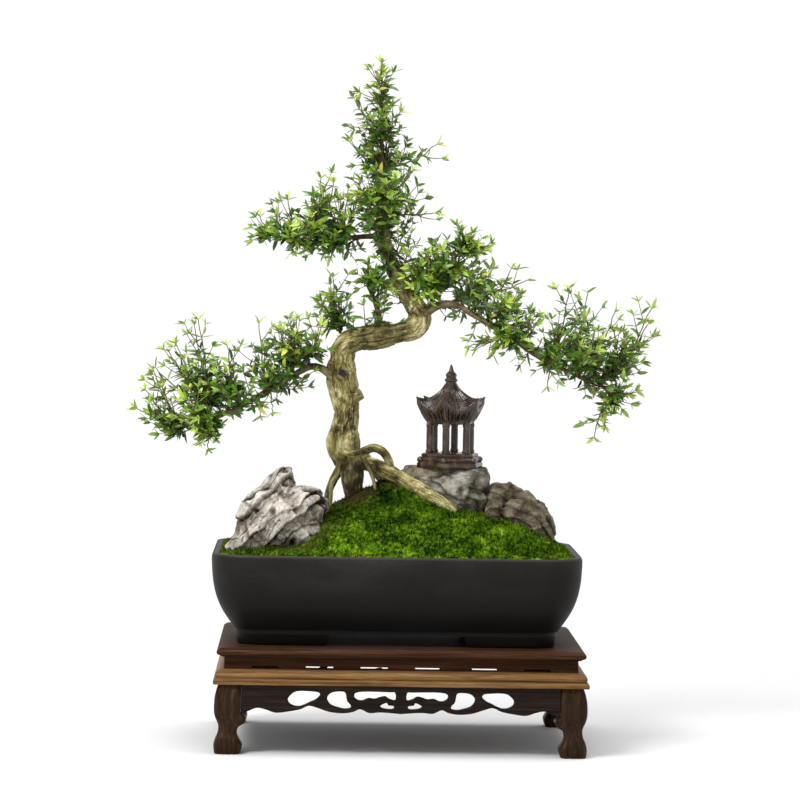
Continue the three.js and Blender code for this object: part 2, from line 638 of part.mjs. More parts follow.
function pot() {
  const outside = solidOf(loft(POT_PROFILE.map(([z, inset]) => potRing(inset, z, OUTER_STEPS))));
  const inside = solidOf(loft([...INNER_LEVELS, POT_RIM + 5].map((z) => (
    potRing(innerInset(Math.min(z, INNER_RIM)), z, INNER_STEPS)
  ))));
  const band = solidOf(loft([
    potRing(29, BOARD_TOP, INNER_STEPS),
    potRing(27, POT_BODY_BOTTOM, INNER_STEPS),
  ]));
  const under = solidOf(box(
    POT_X - FOOT_INNER_X, POT_X + FOOT_INNER_X, -FOOT_INNER_Y, FOOT_INNER_Y, FOOT_GAP_BOTTOM, POT_BODY_BOTTOM,
  ));
  const frontGap = solidOf(box(
    POT_X - FOOT_GAP_X, POT_X + FOOT_GAP_X, -POT_HALF_Y, POT_HALF_Y, FOOT_GAP_BOTTOM, FOOT_GAP_TOP,
  ));
  const sideGap = solidOf(box(
    POT_X - POT_HALF_X, POT_X + POT_HALF_X, -FOOT_GAP_Y, FOOT_GAP_Y, FOOT_GAP_BOTTOM, FOOT_GAP_TOP,
  ));
  const drains = [-DRAIN_X, DRAIN_X].map((x) => (
    solidOf(uprightCylinder(POT_X + x, 0, POT_BODY_BOTTOM - 5, POT_FLOOR + 5, DRAIN_RADIUS, 12))
  ));
  const feet = band.subtract(under).subtract(frontGap).subtract(sideGap);
  return fuse([outside.subtract(inside), feet]).subtract(fuse(drains));
}

place('pot', geometryOf(pot()), FINISHES.pot);

// A disc of mesh lies over each drainage hole
[-DRAIN_X, DRAIN_X].forEach((x, i) => {
  const circle = (cx, cy, radius, count) => Array.from({ length: count }, (_, k) => new THREE.Vector2(
    cx + radius * Math.cos(2 * Math.PI * k / count),
    cy + radius * Math.sin(2 * Math.PI * k / count),
  ));
  const disc = new THREE.Shape(circle(0, 0, MESH_RADIUS, 12));
  for (const [hx, hy] of [[6, 0], [-6, 0], [0, 6], [0, -6]]) {
    disc.holes.push(new THREE.Path(circle(hx, hy, 2.5, 4)));
  }
  const geometry = new THREE.ExtrudeGeometry(disc, { depth: MESH_THICKNESS, bevelEnabled: false });
  geometry.translate(POT_X + x, 0, POT_FLOOR);
  place(`drain_mesh_${i + 1}`, geometry, FINISHES.mesh);
});

// Soil and moss: one mound, highest under the thick root and steep to the left

function moundHeight(x, y) {
  const swell = Math.max(0, 1 - ((x - POT_X) / 195) ** 6 - (y / 126) ** 6);
  const dx = Math.abs(x + 20) / (x > -20 ? 205 : 110);
  const dy = Math.abs(y - 5) / 125;
  const dome = Math.max(0, 1 - dx ** 3 - dy ** 3) ** 0.8;
  const shoulder = Math.exp(-((x / (x > 0 ? 42 : 60)) ** 2) - ((y - 2) / 40) ** 2);
  return MOUND_BASE + SWELL_HEIGHT * swell + DOME_HEIGHT * dome + SHOULDER_HEIGHT * shoulder;
}

const MOUND_SHARES = [1, 0.82, 0.48, 0.15];

// A ring just inside the pot's wall, with further points along its straight sides: two on each long
// side and one on each short side.
function earthRing(inset, z) {
  const ring = potRing(inset + CLEAR, z, INNER_STEPS);
  return [2, 1, 2, 1].flatMap((further, corner) => {
    const start = new THREE.Vector3(...ring[corner * INNER_STEPS + INNER_STEPS - 1]);
    const end = new THREE.Vector3(...ring[((corner + 1) * INNER_STEPS) % ring.length]);
    const between = Array.from({ length: further }, (_, i) => (
      start.clone().lerp(end, (i + 1) / (further + 1)).toArray()
    ));
    return [...ring.slice(corner * INNER_STEPS, (corner + 1) * INNER_STEPS), ...between];
  });
}

// Rings over the mound from the pot's wall to its middle, lowered by depth.
function moundRings(depth) {
  return MOUND_SHARES.map((share) => earthRing(innerInset(INNER_RIM), 0).map(([x, y]) => {
    const px = POT_X + (x - POT_X) * share;
    const py = y * share;
    return [px, py, moundHeight(px, py) - depth];
  }));
}

const soilSolid = loft([
  earthRing(innerInset(POT_FLOOR), POT_FLOOR + CLEAR),
  ...INNER_LEVELS.slice(1, 3).map((z) => earthRing(innerInset(z), z)),
  ...moundRings(MOSS_THICKNESS + CLEAR),
]);
const meshRoom = [-DRAIN_X, DRAIN_X].map((x) => solidOf(
  uprightCylinder(POT_X + x, 0, POT_FLOOR - 5, POT_FLOOR + MESH_THICKNESS + CLEAR, MESH_RADIUS + 1, 12),
));
const earth = solidOf(soilSolid).subtract(fuse(meshRoom)).subtract(stoneSocket).subtract(woodSocket);
place('soil', geometryOf(largest(earth)), FINISHES.soil);

// The mound's upper part down to z = floor. With spread, its foot reaches past the pot's wall.
function moundBody(depth, floor, spread = 1) {
  const rings = moundRings(depth);
  const skirt = (level) => rings[0].map(([x, y, z]) => (
    [POT_X + (x - POT_X) * spread, y * spread, level ?? z]
  ));
  return solidOf(loft(spread === 1 ? [skirt(floor), ...rings] : [skirt(floor), skirt(), ...rings]));
}

const carpet = moundBody(0, 190).subtract(moundBody(MOSS_THICKNESS, 180, 1.02));
place('moss', geometryOf(largest(carpet.subtract(stoneSocket).subtract(woodSocket))), FINISHES.moss);

// Stand: top board, waist, moulding, four aprons and four legs

const BOARD_EDGE = [
  [WAIST_TOP, 8], [108.5, 5.4], [110.5, 4], [112.5, 3.5], [114.5, 4.4], [116, 6], [BOARD_TOP, 8],
];
const board = loft(BOARD_EDGE.map(([z, inset]) => (
  roundedRing(0, 0, STAND_HALF_X - inset, STAND_HALF_Y - inset, 2, 2, z)
)));
place('stand_board', board, FINISHES.stand);

// Turns a front piece, modelled along X at the front, to the side that is wanted.
const SIDES = { front: 0, right: Math.PI / 2, back: Math.PI, left: -Math.PI / 2 };

const WAIST_INSET = 12;
const WAIST_DEPTH = 10;
const SLOT_HALF = 15;
const SLOT_BOTTOM = 94.6;
const SLOT_TOP = 97;

// A strip of the waist, pierced by a row of slots that let the light through.
function waistStrip(halfLength, slots) {
  const strip = solidOf(box(-halfLength, halfLength, -WAIST_DEPTH, 0, MOULDING_TOP, WAIST_TOP));
  const cuts = slots.map((x) => (
    solidOf(box(x - SLOT_HALF, x + SLOT_HALF, -WAIST_DEPTH - 5, 5, SLOT_BOTTOM, SLOT_TOP))
  ));
  return geometryOf(strip.subtract(fuse(cuts)));
}

// A strip of moulding, a sloping round over a fillet that stands further out, mitred at both ends.
function mouldingStrip(halfLength, halfWidth) {
  const profile = [
    [-16, LEG_TOP], [0, LEG_TOP], [0, 82], [-3.4, 83.6], [-2.2, 86], [-2.8, 89], [-6.5, MOULDING_TOP],
    [-16, MOULDING_TOP],
  ];
  const end = (side) => profile.map(([out, z]) => [
    side * (halfLength + out - CLEAR / 2), -(halfWidth + out), z,
  ]);
  return loft([end(1), end(-1)]);
}

// A pierced apron with a scalloped lower edge, the same left and right.
const LEAF_HOLES = [
  [[6, 63], [8, 69.5], [49, 70], [53.5, 66], [50, 60.8], [40, 61.5], [27, 63.5], [13, 61]],
  [[11, 53.3], [23, 59], [26.5, 53], [20, 52]],
  [[62, 68], [67, 69.8], [76, 69.3], [82, 63], [76, 56], [63, 51.8], [55.5, 54], [61, 61]],
  [[90, 66], [94, 69.8], [118, 69.5], [125, 61], [122, 55.5], [113, 54], [102, 58]],
];

function apron(halfLength, stretch, holes) {
  const half = [
    [halfLength, 46], [159, 51.5], [139, 46.2], [113, 49], [101, 54], [80, 48], [62, 46.7], [46, 51],
    [35, 47.3],
  ].map(([x, z], i) => [i === 0 ? x : x * stretch, z]);
  const edge = [...half.map(([x, z]) => [-x, z]), [0, 46.6], ...half.slice().reverse()];
  const outline = new THREE.Shape(edge.map(([x, z]) => new THREE.Vector2(x, z)));
  outline.lineTo(halfLength, LEG_TOP);
  outline.lineTo(-halfLength, LEG_TOP);
  holes.forEach((points) => [-1, 1].forEach((side) => {
    const hole = points.map(([x, z]) => new THREE.Vector2(side * x * stretch, z));
    outline.holes.push(new THREE.Path(hole));
  }));
  const geometry = new THREE.ExtrudeGeometry(outline, { depth: APRON_THICKNESS, bevelEnabled: false });
  geometry.rotateX(Math.PI / 2);
  return geometry;
}

const waistOuterY = STAND_HALF_Y - WAIST_INSET;
const waistOuterX = STAND_HALF_X - WAIST_INSET;
Object.entries(SIDES).forEach(([side, turn]) => {
  const long = side === 'front' || side === 'back';
  const waist = long
    ? waistStrip(waistOuterX, [-150, -90, -30, 30, 90, 150])
    : waistStrip(waistOuterY - WAIST_DEPTH, [-90, -30, 30, 90]);
  waist.translate(0, WAIST_DEPTH - (long ? waistOuterY : waistOuterX), 0);
  waist.rotateZ(turn);
  place(`stand_waist_${side}`, waist, FINISHES.stand);

  const moulding = long
    ? mouldingStrip(STAND_HALF_X, STAND_HALF_Y)
    : mouldingStrip(STAND_HALF_Y, STAND_HALF_X);
  moulding.rotateZ(turn);
  place(`stand_moulding_${side}`, moulding, FINISHES.moulding);

  const panel = long
    ? apron(LEG_INNER_X, 1, LEAF_HOLES)
    : apron(LEG_INNER_Y, 0.7, LEAF_HOLES.filter((hole) => hole.length > 4));
  panel.translate(0, APRON_THICKNESS - (long ? STAND_HALF_Y : STAND_HALF_X) + APRON_INSET, 0);
  panel.rotateZ(turn);
  place(`stand_apron_${side}`, panel, FINISHES.stand);
});

// A bowed leg: a shoulder, a curled bracket, a slim ankle and a claw foot.
// Each level is [z, how far the outer faces stand inside the moulding's line, the leg's width there].
const LEG_LEVELS = [
  [0, 3, 26.5], [4, 1.6, 30], [10, 1.2, 31.6], [17, 3, 26], [23, 5.6, 21.2], [29, 6.4, 21.8],
  [34, 5.4, 29.6], [40, 3, 33.6], [45.7, 1.7, 29], [58, 1.6, 29.1], [LEG_TOP, 6, 24.7],
];

function leg() {
  const body = solidOf(loft(LEG_LEVELS.map(([z, inset, width]) => {
    const half = width / 2;
    const x = STAND_HALF_X - inset - half;
    const y = STAND_HALF_Y - inset - half;
    return roundedRing(x, y, half, half, 5, 2, z);
  })));
  const grooves = [11, 22].flatMap((along) => [
    [[STAND_HALF_X - 1, STAND_HALF_Y - along, 2, 1.6], [STAND_HALF_X - 3, STAND_HALF_Y - along, 19, 1.6]],
    [[STAND_HALF_X - along, STAND_HALF_Y - 1, 2, 1.6], [STAND_HALF_X - along, STAND_HALF_Y - 3, 19, 1.6]],
  ]);
  return body.subtract(fuse(grooves.map((groove) => solidOf(limb(groove, 3)))));
}

const backRightLeg = leg();
const LEG_PLACES = { back_right: [1, 1], back_left: [-1, 1], front_left: [-1, -1], front_right: [1, -1] };
Object.entries(LEG_PLACES).forEach(([name, [alongX, alongY]]) => {
  const mirrored = backRightLeg.scale([alongX, alongY, 1]);
  place(`stand_leg_${name}`, geometryOf(mirrored), FINISHES.stand);
});

export default bonsai;
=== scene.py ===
# %% [markdown]
# # A serissa bonsai with its stones, pavilion, pot and stand
#
# The object is a small evergreen tree trained in a slanting style. It grows in moss between stones, with a
# fired-clay pavilion on one of them, in a dark clay pot on a carved wooden stand. Every solid of the
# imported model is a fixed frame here: this file gives each of them its finish, or a finer piece in the same
# place. All shapes are worked out in millimetres from the stand's middle and put into the mesh in metres.

# %% The fixed frame
import math

import bpy
import numpy as np
from mathutils import Matrix, Vector


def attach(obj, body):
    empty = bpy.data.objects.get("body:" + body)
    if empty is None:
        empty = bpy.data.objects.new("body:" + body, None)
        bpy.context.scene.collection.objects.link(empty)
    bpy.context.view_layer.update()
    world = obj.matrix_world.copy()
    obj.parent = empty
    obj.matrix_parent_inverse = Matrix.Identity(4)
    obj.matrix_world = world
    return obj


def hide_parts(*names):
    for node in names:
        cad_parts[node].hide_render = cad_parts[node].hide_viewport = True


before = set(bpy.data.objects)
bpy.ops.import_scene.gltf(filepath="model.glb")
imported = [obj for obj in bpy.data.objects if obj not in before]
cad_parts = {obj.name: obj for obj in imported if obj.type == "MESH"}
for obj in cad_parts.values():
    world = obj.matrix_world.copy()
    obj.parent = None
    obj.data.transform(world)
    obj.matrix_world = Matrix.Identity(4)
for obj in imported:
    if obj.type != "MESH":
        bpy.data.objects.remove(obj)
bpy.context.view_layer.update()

# %% [markdown]
# ## The camera
#
# The tree is seen from the front, a little under the height of its middle, from four metres away with a
# long lens, so the stand's top shows as a thin sliver. A level camera on a tripod is never quite level:
# this one is rolled by less than a degree, and the right side of the stand stands a little lower.

# %% Camera
CAMERA_PLACE = Vector((-0.0826, -4.0242, 0.5334))
LENS_MM = 159.8
SENSOR_MM = 36
AIM = Vector((0.02233, 1, -0.03659))
ROLL = 0.0159                     # radians


def in_scene(name, data):
    """A new object that shows the data, linked to the scene."""
    thing = bpy.data.objects.new(name, data)
    bpy.context.scene.collection.objects.link(thing)
    return thing


camera = in_scene("camera", bpy.data.cameras.new("camera"))
camera.data.sensor_width = SENSOR_MM
camera.data.lens = LENS_MM
camera.data.clip_end = 100
ahead = AIM.normalized()
right = ahead.cross(Vector((0, 0, 1))).normalized()
above = right.cross(ahead)
rolled_right = math.cos(ROLL) * right + math.sin(ROLL) * above
rolled_above = math.cos(ROLL) * above - math.sin(ROLL) * right
turn = Matrix((rolled_right, rolled_above, -ahead)).transposed().to_4x4()
camera.matrix_world = Matrix.Translation(CAMERA_PLACE) @ turn
bpy.context.scene.camera = camera
print("camera: lens", round(camera.data.lens, 1), "mm")

# %% [markdown]
# ## Tools for making surfaces
#
# Nearly every piece here is a skin over rings of points: a tube along a line, a stone, a pot wall, a leg.
# A ring is a row of a grid, so one function can lay the faces of them all. The points come from formulas
# on whole arrays, which is quick and keeps each shape in one place.

# %% Skins over rings of points
MM = 0.001
MIDDLE = np.array([10.5, 0, 0])   # the stand's middle, seen from the frame's origin
NO_TRIANGLES = np.zeros((0, 3), int)


def grid_quads(rows, columns):
    """Quads between neighbouring rows of a grid, the last column joined to the first."""
    row = np.arange(rows - 1)[:, None] * columns
    column = np.arange(columns)[None, :]
    here = row + column
    beside = row + (column + 1) % columns
    return np.stack([here, beside, beside + columns, here + columns], -1).reshape(-1, 4)


def closed_loft(rings):
    """Points and faces of a closed skin: quads between rings, and a fan to the middle of each end ring."""
    rows, columns = rings.shape[:2]
    points = np.concatenate([rings.reshape(-1, 3), rings[[0, -1]].mean(1)])
    here = np.arange(columns)
    beside = (here + 1) % columns
    last = (rows - 1) * columns
    first_fan = np.stack([beside, here, np.full(columns, rows * columns)], 1)
    last_fan = np.stack([here + last, beside + last, np.full(columns, rows * columns + 1)], 1)
    return points, grid_quads(rows, columns), np.concatenate([first_fan, last_fan])


def joined(parts):
    """Several sets of (points, quads, triangles) as one set, their point numbers shifted."""
    shifts = np.cumsum([0] + [len(points) for points, _, _ in parts[:-1]])
    return (
        np.concatenate([points for points, _, _ in parts]),
        np.concatenate([quads + shift for (_, quads, _), shift in zip(parts, shifts)]),
        np.concatenate([triangles + shift for (_, _, triangles), shift in zip(parts, shifts)]),
    )


# %% From points to a piece
def in_metres(points):
    """Points in millimetres from the stand's middle, as the one row of metres that foreach_set takes."""
    return ((points + MIDDLE) * MM).ravel()


def new_piece(name, shape, finishes, sharp_over=40):
    """An object from (points, quads, triangles) in millimetres. Edges bent past sharp_over degrees are
    sharp."""
    points, quads, triangles = shape
    mesh = bpy.data.meshes.new(name)
    mesh.vertices.add(len(points))
    mesh.vertices.foreach_set("co", in_metres(points))
    corners = np.concatenate([quads.ravel(), triangles.ravel()]).astype(np.int32)
    sizes = np.concatenate([np.full(len(quads), 4), np.full(len(triangles), 3)])
    mesh.loops.add(len(corners))
    mesh.loops.foreach_set("vertex_index", corners)
    mesh.polygons.add(len(sizes))
    mesh.polygons.foreach_set("loop_start", (np.cumsum(sizes) - sizes).astype(np.int32))
    mesh.update(calc_edges=True)
    mesh.validate()
    mesh.shade_smooth()
    mesh.set_sharp_from_angle(angle=math.radians(sharp_over))
    for finish in finishes:
        mesh.materials.append(finish)
    return in_scene(name, mesh)


def settle(piece, slot, *nodes):
    """The piece rides on the frame, in place of the nodes if any are named. The slot is not used."""
    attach(piece, "root")
    if nodes:
        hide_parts(*nodes)
    print(piece.name, len(piece.data.vertices), "points,", len(piece.data.polygons), "faces")


def points_of(mesh, what="co"):
    """The mesh's points, or their normals, as an array with a row for each."""
    values = np.empty(len(mesh.vertices) * 3)
    mesh.vertices.foreach_get(what, values)
    return values.reshape(-1, 3)


def mark(mesh, name, values):
    """Keeps a number, or a place in space, with each point, where a finish can read it."""
    kind, key = ("FLOAT", "value") if values.ndim == 1 else ("FLOAT_VECTOR", "vector")
    mesh.attributes.new(name, kind, "POINT").data.foreach_set(key, values.astype(np.float32).ravel())


def take_shape(piece):
    """Puts the result of the piece's modifiers into its own mesh."""
    shaped = bpy.data.meshes.new_from_object(piece.evaluated_get(bpy.context.evaluated_depsgraph_get()))
    piece.modifiers.clear()
    piece.data = shaped


# %% [markdown]
# ## Roughness that repeats exactly
#
# Bark, stone and moss are uneven at every size. A lattice noise gives that: it fixes a draw at each corner
# of a grid of cells and blends between the corners. The draw is worked out from the corner's own numbers,
# so the same place always gets the same height. Several cell sizes added up look like a natural surface.

# %% Noise
def lattice_noise(points, cell, seed=0):
    """Draws from -1 to 1 at the corners of a grid of cubes, blended across each cube by 3t^2 - 2t^3."""
    spot = np.asarray(points) / cell + 500.0
    base = np.floor(spot).astype(np.int64)
    part = spot - base
    part = part * part * (3 - 2 * part)
    total = np.zeros(len(spot))
    for corner in np.ndindex(2, 2, 2):
        mixed = (base + corner) @ np.array([73856093, 19349663, 83492791]) + seed * 1013904223
        mixed = ((mixed ^ (mixed >> 13)) * 1274126177) & 0xFFFFFFFF
        mixed = (mixed ^ (mixed >> 16)) & 0xFFFF
        share = np.where(corner, part, 1 - part).prod(1)
        total += share * (mixed / 32767.5 - 1)
    return total


def rough(points, cell, octaves, seed=0):
    """Lattice noise of cell size c, plus half as much at c/2, a quarter at c/4 and so on."""
    return sum(lattice_noise(points, cell / 2 ** k, seed + k) / 2 ** k for k in range(octaves))


# %% [markdown]
# ## Finishes
#
# A finish is a small tree of nodes that reads the object's own coordinates, or numbers kept with the points,
# so it stays in place from every side. Two short classes save the typing: one adds nodes of a few kinds, the
# other lets what comes out of them be added and multiplied like numbers.

# %% Helpers for finishes
class Wire:
    """What comes out of a node. Wires and numbers add, subtract and multiply: one Math node for each step."""

    def __init__(self, nodes, socket):
        self.nodes, self.socket = nodes, socket

    def __add__(self, other):
        return self.nodes.math("ADD", self, other)

    def __sub__(self, other):
        return self.nodes.math("SUBTRACT", self, other)

    def __rsub__(self, other):
        return self.nodes.math("SUBTRACT", other, self)

    def __mul__(self, other):
        return self.nodes.math("MULTIPLY", self, other)

    def held(self):
        """The same, held between 0 and 1."""
        self.socket.node.use_clamp = True
        return self


class Nodes:
    """A tree of nodes. Each function below adds nodes of one kind and gives the wire that comes out."""

    def __init__(self, tree):
        self.tree = tree

    def join(self, value, socket):
        """Leads a wire to a socket, or sets the socket to a number, a stretch or a colour."""
        if isinstance(value, Wire):
            self.tree.links.new(value.socket, socket)
        else:
            socket.default_value = (*value, 1) if socket.type == "RGBA" else value

    def add(self, kind, output, inputs, **settings):
        """A node with these inputs and settings."""
        node = self.tree.nodes.new("ShaderNode" + kind)
        for name, value in settings.items():
            setattr(node, name, value)
        for key, value in inputs.items():
            self.join(value, node.inputs[key])
        return Wire(self, node.outputs[output])

    def math(self, kind, first, second):
        """One step of arithmetic."""
        return self.add("Math", "Value", {0: first, 1: second}, operation=kind)

    def place(self, stretch=(1, 1, 1), kept=None):
        """Object coordinates, or a place kept with the points, scaled by stretch."""
        source = (self.add("Attribute", "Vector", {}, attribute_name=kept) if kept
                  else self.add("TexCoord", "Object", {}))
        return self.add("Mapping", "Vector", {"Vector": source, "Scale": stretch})

    def height(self, place):
        """How high a place is."""
        return self.add("SeparateXYZ", "Z", {"Vector": place})

    def kept(self, name):
        """A number kept with the points."""
        return self.add("Attribute", "Fac", {}, attribute_name=name)

    def noise(self, place, scale, detail=4, roughness=0.55):
        """Noise from 0 to 1, with that many waves a metre of the place."""
        return self.add("TexNoise", "Fac", {"Vector": place, "Scale": scale, "Detail": detail,
                                            "Roughness": roughness})

    def ramp(self, factor, *stops):
        """A colour for each share of the factor, blended between the stops (share, (r, g, b))."""
        wire = self.add("ValToRGB", "Color", {"Fac": factor})
        row = wire.socket.node.color_ramp.elements
        while len(row) < len(stops):
            row.new(0.5)
        for element, (share, colour) in zip(row, stops):
            element.position = share
            element.color = (*colour, 1)
        return wire

    def mix(self, factor, first, second, kind="MIX"):
        """Two colours blended by the factor. The Mix node's colours are its inputs 6 and 7 and output 2."""
        return self.add("Mix", 2, {"Factor": factor, 6: first, 7: second}, data_type="RGBA", blend_type=kind)


# %% [markdown]
# Inside a material such a tree ends at the shader, which takes a colour, a roughness and a bump. The
# plainest finish, for twigs, soil and mesh, lets one noise choose the colour and raise the bumps.

# %% A finish
class Finish(Nodes):
    """A new material, with the roughness and the specular level of its shader."""

    def __init__(self, name, roughness, specular):
        self.material = bpy.data.materials.new(name)
        self.material.use_nodes = True
        super().__init__(self.material.node_tree)
        self.give("Roughness", roughness)
        self.give("Specular IOR Level", specular)

    def give(self, name, value):
        """Sets one input of the shader, or leads a wire to it."""
        self.join(value, self.tree.nodes["Principled BSDF"].inputs[name])

    def done(self, colour, height, strength, distance_mm):
        """The material, with its colour, and small unevenness in its shading from a height."""
        self.give("Base Color", colour)
        self.give("Normal", self.add("Bump", "Normal", {"Height": height, "Strength": strength,
                                                        "Distance": distance_mm * MM}))
        return self.material


def grainy_finish(name, roughness, specular, noise, stops, strength, distance_mm):
    """The plainest finish: one noise chooses the colour and raises the bumps."""
    plain = Finish(name, roughness, specular)
    grain = plain.noise(plain.place(), *noise)
    return plain.done(plain.ramp(grain, *stops), grain, strength, distance_mm)


# %% [markdown]
# ## Lines and tubes
#
# Trunk, roots, branches and twigs are tubes whose thickness changes along a bending line. The line is a
# cubic through a few given points. Each ring stands square to the line, and its first side is one
# fixed direction made square to the line, which keeps the tube from twisting.

# %% Lines and tubes
FIRST_SIDE = np.array([0.31, 0.94, 0.12])   # a way that no line here takes


def unit(vectors):
    """Vectors brought to length 1."""
    return vectors / np.maximum(np.linalg.norm(vectors, axis=-1, keepdims=True), 1e-9)


def smooth_line(points, steps):
    """A centripetal Catmull-Rom line, steps to a span: each span is the cubic that meets its two points with
    speeds worked out from the neighbours' distances to the power 1/2. Further columns are blended evenly."""
    points = np.asarray(points, float)
    way = points[:, :3]
    ends = np.vstack([2 * way[0] - way[1], way, 2 * way[-1] - way[-2]])
    gap = np.maximum(np.linalg.norm(np.diff(ends, axis=0), axis=1), 1e-6) ** 0.5
    before, start, stop, after = ends[:-3], ends[1:-2], ends[2:-1], ends[3:]
    g0, g1, g2 = (gap[k:len(gap) - 2 + k, None] for k in range(3))
    speed = ((start - before) / g0 - (stop - before) / (g0 + g1) + (stop - start) / g1) * g1
    speed_after = ((stop - start) / g1 - (after - start) / (g1 + g2) + (after - stop) / g2) * g1
    t = (np.arange(steps) / steps)[None, :, None]
    square = 3 * (stop - start) - 2 * speed - speed_after
    cube = 2 * (start - stop) + speed + speed_after
    line = start[:, None] + speed[:, None] * t + square[:, None] * t ** 2 + cube[:, None] * t ** 3
    line = np.vstack([line.reshape(-1, 3), way[-1:]])
    share = np.linspace(0, len(points) - 1, len(line))
    others = [np.interp(share, np.arange(len(points)), column) for column in points[:, 3:].T]
    return np.column_stack([line, *others])


def sides_of(line):
    """The direction of a line at each point, and two directions square to it."""
    along = unit(np.gradient(line, axis=0))
    side = unit(FIRST_SIDE - (along @ FIRST_SIDE)[:, None] * along)
    return along, side, np.cross(along, side)


def tube(line, radii, sides):
    """Rings with that many sides round a line, at a radius for each ring, or for each point of a ring."""
    _, side, across = sides_of(line)
    angle = np.linspace(0, 2 * np.pi, sides, endpoint=False)[None, :, None]
    reach = np.broadcast_to(np.asarray(radii, float).reshape(len(line), -1, 1), (len(line), sides, 1))
    around = side[:, None] * np.cos(angle) + across[:, None] * np.sin(angle)
    return line[:, None] + reach * around


def run_of(line):
    """How far along a line each of its points lies: the sum of the steps before it."""
    return np.concatenate([[0], np.cumsum(np.linalg.norm(np.diff(line, axis=0), axis=1))])


def on_line(line, run, where):
    """The places on a line whose points have that run."""
    return np.stack([np.interp(where, run, column) for column in line.T], -1)


# %% [markdown]
# ## The wood: trunk, roots and main branches
#
# The trunk rises from a fan of roots, bends flat to the right over the pavilion and turns up again to its
# top. It grew as one piece, so the limbs are laid as tubes through each other and then skinned over
# together by a voxel remesh, which makes real crotches where they meet. The bark comes last: it is worked
# out round and along each limb, so that its ridges and flakes run with the wood.
# The arched root in front has a skin of its own, because the remesh would fill the gap under it.

# %% Lines of the wood, [x, y, z, radius] in millimetres
TRUNK = [
    [-55, 4, 248, 8], [-56, 4, 271, 7.6], [-56, 3, 294, 11.6], [-58, 2, 311, 13.4], [-65, 0, 328, 17.2],
    [-66, -1, 339, 17], [-65, -1, 353, 13.9], [-63, 0, 371, 13], [-66, 0, 389, 13.8], [-69, 0, 403, 14.4],
    [-71, -1, 416, 13.8], [-71, -2, 430, 12.9], [-70, -4, 442, 13.4], [-63, -6, 450, 13.2],
    [-50, -8, 454, 12.6], [-27, -9, 458, 12.6], [-4, -7, 463.5, 12.2], [12, -3, 468.5, 14],
    [19, 4, 480, 13.6], [9, 8, 499, 10.4], [-5, 8, 520, 9.2], [-19, 6, 547, 8.5], [-26, 4, 573, 7],
    [-28, 2, 603, 5.3], [-27, 0, 647, 3.4], [-29, -4, 686, 2.3], [-29, -8, 722, 1.5],
]
ROOTS = [
    [[-52, 8, 315, 6], [-40, 5, 313, 6.6], [-28, -3, 310.5, 8], [-15, -9, 304.5, 9.6], [0, -14, 296, 8.8],
     [16, -18, 287.5, 7.6], [34, -24, 278, 7.2], [50, -30, 269, 6.8], [62, -35, 261, 6]],
    [[-65, -2, 322, 3.2], [-71, -8, 314, 2.7], [-73, -9, 302, 2.5], [-79, -9, 291, 2.4], [-80, -9, 276, 2.2],
     [-81, -9, 250, 1.8]],
    [[-45, -6, 323, 2.6], [-41, -11, 314, 2.1], [-35, -13, 303, 1.9], [-31, -13, 291, 1.8],
     [-28, -13, 262, 1.5]],
    [[-45, 6, 322, 7.2], [-31, 14, 307, 5.6], [-20, 22, 290, 4.6], [-6, 32, 262, 3.6]],
    [[-62, 4, 322, 6.4], [-70, 16, 306, 4.8], [-80, 26, 286, 4], [-90, 36, 246, 3.2]],
]
ARCH_ROOT = [
    [-70, -6, 330, 4.2], [-62, -17, 326.5, 4.3], [-52, -23, 325.5, 4.3], [-42, -26, 329.5, 4.5],
    [-32, -26, 332.5, 4.7], [-23, -21, 329, 4.7], [-16, -14, 319.5, 4.4], [-12, -8, 308, 3.8],
]
LEFT_BRANCH = [
    [-72, -4, 407, 6], [-82, -6, 413, 4.6], [-93, -8, 421, 3.8], [-104, -11, 423, 3.5],
    [-116, -14, 418, 3.4], [-130, -17, 409, 3.4], [-146, -19, 399, 3.2], [-161, -20, 390, 3],
    [-180, -19, 379, 2.7], [-209, -14, 364, 2], [-233, -9, 353, 1.5],
]
UPPER_BRANCH = [
    [-24, 4, 568, 3.8], [-36, 1, 571, 3], [-55, -3, 570, 2.6], [-75, -7, 568, 2.4], [-98, -10, 565, 2],
    [-118, -10, 564, 1.8], [-141, -7, 570, 1.5],
]
RIGHT_BRANCH = [
    [18, 0, 479, 5], [31, -4, 490, 4.2], [46, -8, 496, 3.7], [61, -11, 494, 3.5], [76, -13, 485, 3.4],
    [94, -16, 475, 3.3], [111, -18, 465, 3.3], [128, -19, 455, 3.3], [143, -19, 445, 3.2],
    [160, -18, 434, 2.9], [183, -14, 423, 2.5], [210, -8, 411, 1.9], [229, -4, 404, 1.5],
]
CORE_BRANCH = [[22, 2, 482, 4.4], [31, 4, 497, 2.9], [35, 6, 511, 2.5], [43, 8, 525, 2.1], [58, 10, 550, 1.5]]
MIDDLE_BRANCH = [[-26, -6, 462, 4.4], [-30, 0, 487, 2.9], [-36, 5, 503, 2.2], [-43, 8, 517, 1.7]]
CUT_STUB = [[-62, 0, 385, 9], [-54, -3, 390, 9], [-47, -4, 394, 7]]
KNOT = [[-69, -4, 408, 7], [-69, -16, 415.5, 5.2]]
BRANCHES = [CUT_STUB, KNOT, LEFT_BRANCH, UPPER_BRANCH, RIGHT_BRANCH, CORE_BRANCH, MIDDLE_BRANCH]
limbs = [TRUNK, *ROOTS, *BRANCHES, ARCH_ROOT]
print("limbs:", len(limbs))

# %% One skin over all limbs
VOXEL_MM = 0.98
LIMB_SIDES = 28


def limb_line(points):
    """The line of a limb with its radius, eight rings to a span."""
    return smooth_line(points, 8)


